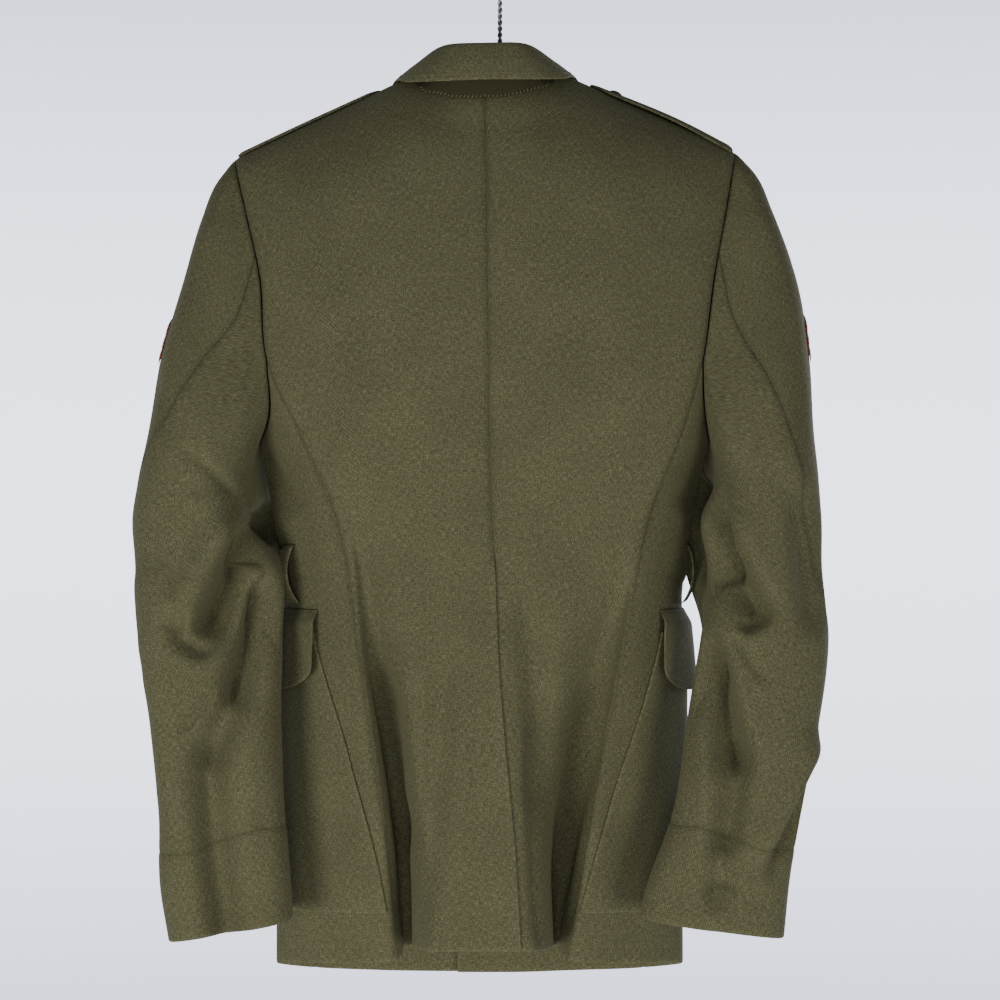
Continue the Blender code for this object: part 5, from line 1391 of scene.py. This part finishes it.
def tube(name, node, path, radii, closed=False, sides=14):
    # a circle carried along the path; its ends shrink to a point over a short round cap
    path, radii = np.asarray(path, float), np.broadcast_to(np.asarray(radii, float),
        (len(path),)).copy()
    if not closed:
        cap = np.radians([80, 55, 25])
        r0, r1 = radii[0], radii[-1]
        d0, d1 = unit(path[0] - path[1]), unit(path[-1] - path[-2])
        path = np.concatenate([path[0] + np.outer(np.sin(cap) * r0, d0), path,
                               (path[-1] + np.outer(np.sin(cap) * r1, d1))[::-1]])
        radii = np.concatenate([np.cos(cap) * r0, radii, (np.cos(cap) * r1)[::-1]])
        tangent = unit(np.gradient(path, axis=0))
    else:
        tangent = unit(np.roll(path, -1, axis=0) - np.roll(path, 1, axis=0))
    side = unit(np.cross(tangent, np.array([0, 1.0, 0])))
    other = np.cross(side, tangent)
    turn = np.linspace(0, 2 * np.pi, sides, endpoint=False)
    rings = path[:, None] + radii[:, None,
                                  None] * (np.cos(turn)[None, :, None] * side[:,
                                      None] + np.sin(turn)[None, :, None] * other[:, None])
    points = rings.reshape(-1, 3)
    index = np.arange(len(points)).reshape(len(path), sides)
    rowAfter = np.roll(index, -1, axis=0) if closed else index[1:]
    here = index if closed else index[:-1]
    quads = np.stack([here, rowAfter, np.roll(rowAfter, -1, axis=1), np.roll(here, -1, axis=1)],
                     axis=-1).reshape(-1, 4)
    faces = [quads]
    if not closed:
        points = np.concatenate([points,
                                 [path[0] + unit(path[0] - path[1]) * radii[0] * 0.2,
                                  path[-1] + unit(path[-1] - path[-2]) * radii[-1] * 0.2]])
        a, b = len(points) - 2, len(points) - 1
        faces.append(np.stack([index[0], np.roll(index[0], -1), np.full(sides, a),
                               np.full(sides, a)], axis=-1))
        faces.append(np.stack([np.roll(index[-1], -1), index[-1], np.full(sides, b),
                               np.full(sides, b)], axis=-1))
    faces = np.concatenate(faces)
    run = np.concatenate([[0], np.cumsum(np.linalg.norm(np.diff(path, axis=0), axis=1))])
    uv = np.stack(np.broadcast_arrays(turn[None, :] / (2 * np.pi) * 0.008, run[:, None]),
                  axis=-1).reshape(-1, 2)
    uv = np.concatenate([uv, np.zeros((len(points) - len(uv), 2))])
    volume = np.sum(points[faces[:, 0]] * np.cross(points[faces[:, 1]], points[faces[:, 2]]))
    if volume < 0:
        faces = np.where((faces[:, 2] == faces[:, 3])[:, None], faces[:, [1, 0, 2, 3]],
                         faces[:, ::-1])
    piece = newMesh(name, points, faces, uv, faces)
    return dress(piece, steel, "hanger_wire", node)


def hanger():
    shape = hangerShape
    radius = shape["hookRadius"]
    arc = np.radians(np.linspace(shape["hookStart"], shape["hookStart"] + shape["hookTurn"], 90))
    hook = np.stack([radius * np.cos(arc), 0 * arc,
                     -(radius - shape["wire"]) + radius * np.sin(arc)], axis=1)
    # two wires wound round each other; one runs on into the hook, the other ends against it
    z = np.linspace(shape["foot"], shape["head"], 150) * mm
    turn = 2 * np.pi * (z - z[0]) / shape["twistPitch"]
    wound = lambda phase: np.stack([shape["twistRadius"] * np.cos(turn + phase),
                                    shape["twistRadius"] * np.sin(turn + phase), z], axis=1)
    mainTwist, otherTwist = wound(0.0), wound(np.pi)
    neck = through(np.array([mainTwist[-1], [0, 0, -0.054], [0.0006, 0, -0.048], hook[0], hook[3]]),
                   np.linspace(0, 3, 40))[1:-1]
    tube("hangerHookWire", "hanger_hook", np.concatenate([mainTwist, neck, hook]),
         shape["wire"] * 0.86)
    end = otherTwist[-1] + np.array([[0, 0, 0.0], [0.0001, 0.0002, 0.0015]])
    tube("hangerTwistWire", "hanger_hook", np.concatenate([otherTwist[:-1], end]),
         shape["wire"] * 0.86)
    arms = []
    for side, sign in (("left", -1), ("right", 1)):
        lines, drops = np.array(shape["path"]).T
        under, _ = smoothBody(centre + sign * lines, np.full(len(lines), float(topLevel)))
        under[:, 2] -= drops * mm
        under[:, 1] = 0
        corner = [under[-1] + np.array([-sign * dx, 0, dz]) * mm for dx, dz in shape["corner"]]
        arms.append(np.concatenate([under, corner]))
    apex = np.array([[0, 0, shape["apex"] * mm]])
    loop = np.concatenate([apex, arms[0], arms[1][::-1], apex])
    path = through(loop, np.linspace(0, len(loop) - 1, 420))[:-1]
    tube("hangerShoulderWire", "hanger_shoulders", path, shape["wire"], closed=True)


hanger()
print("hanger ready")

# ---- stage, light and camera

stageSet = {"floorZ": -2.3, "floorRadius": 3.0}


def stage():
    turn = np.linspace(0, 2 * np.pi, 64, endpoint=False)
    rim = np.stack([stageSet["floorRadius"] * np.cos(turn), stageSet["floorRadius"] * np.sin(turn),
                    np.full(64, stageSet["floorZ"])], axis=1)
    points = np.concatenate([rim, [[0, 0, stageSet["floorZ"]]]])
    faces = np.stack([np.arange(64), np.roll(np.arange(64), -1), np.full(64, 64), np.full(64, 64)],
                     axis=-1)
    floor = newMesh("paleFloor", points, faces)
    material, tree, shader = newMaterial("paintedFloor")
    shader.inputs["Base Color"].default_value = linear("#dcdce2")
    shader.inputs["Roughness"].default_value = 0.9
    floor.data.materials.append(material)


def areaLight(name, place, aim, size, power, code):
    data = bpy.data.lights.new(name, "AREA")
    data.shape, data.size, data.energy, data.color = "DISK", size, power, linear(code)[:3]
    light = bpy.data.objects.new(name, data)
    light.location = place
    back = np.array(place) - np.array(aim)
    light.rotation_euler = (math.atan2(math.hypot(back[0], back[1]), back[2]), 0,
                            math.atan2(back[0], -back[1]))
    bpy.context.scene.collection.objects.link(light)


def lights():
    # a soft window low on the left, a weaker one on the right and one straight behind the viewer
    areaLight("windowLeft", (1.5, 1.85, -1.35), (0, 0, -0.6), 1.1, 39, "#fffaf0")
    areaLight("windowRight", (-1.5, 1.85, -1.35), (0, 0, -0.6), 1.1, 24, "#fffaf0")
    areaLight("windowBehind", (0.1, 2.9, -1.3), (0, 0, -0.6), 1.2, 28, "#fffaf2")
    areaLight("fillFront", (-1.8, -2.4, -0.1), (0, 0, -0.5), 1.8, 46, "#f2f2ff")
    # the room: dim, with a pale wall beyond the tunic's front, brightest at middle height
    world = bpy.data.worlds.new("paleRoom")
    bpy.context.scene.world = world
    world.use_nodes = True
    tree = world.node_tree
    way = addNode(tree, "ShaderNodeSeparateXYZ", None,
                  {0: addNode(tree, "ShaderNodeTexCoord").outputs["Generated"]})
    height = addNode(tree, "ShaderNodeMath", {"operation": "ABSOLUTE"},
                     {0: way.outputs[2]}).outputs[0]
    height = addNode(tree, "ShaderNodeMapRange", {"interpolation_type": "SMOOTHSTEP"},
                     {0: height, 1: 0.0, 2: 0.4, 3: 1.0, 4: 0.0}).outputs[0]
    ahead = addNode(tree, "ShaderNodeMapRange", {"interpolation_type": "SMOOTHSTEP"},
                    {0: way.outputs[1], 1: -0.75, 2: 0.1, 3: 1.0, 4: 0.0}).outputs[0]
    lit = addNode(tree, "ShaderNodeMath", {"operation": "MULTIPLY"},
                  {0: height, 1: ahead}).outputs[0]
    strength = addNode(tree, "ShaderNodeMapRange", None,
                       {0: lit, 1: 0.0, 2: 1.0, 3: 0.25, 4: 3.9}).outputs[0]
    back = tree.nodes["Background"]
    back.inputs["Color"].default_value = linear("#d8dbee")
    tree.links.new(strength, back.inputs["Strength"])


def camera():
    data = bpy.data.cameras.new("viewFromBehind")
    data.sensor_width = 36
    data.angle = 2 * math.atan(0.44 / 2.4)
    cam = bpy.data.objects.new("viewFromBehind", data)
    cam.location = (0, 2.4, -0.506)
    cam.rotation_euler = (math.radians(90), 0, math.radians(180))
    bpy.context.scene.collection.objects.link(cam)
    bpy.context.scene.camera = cam


stage()
lights()
camera()
print("stage ready")
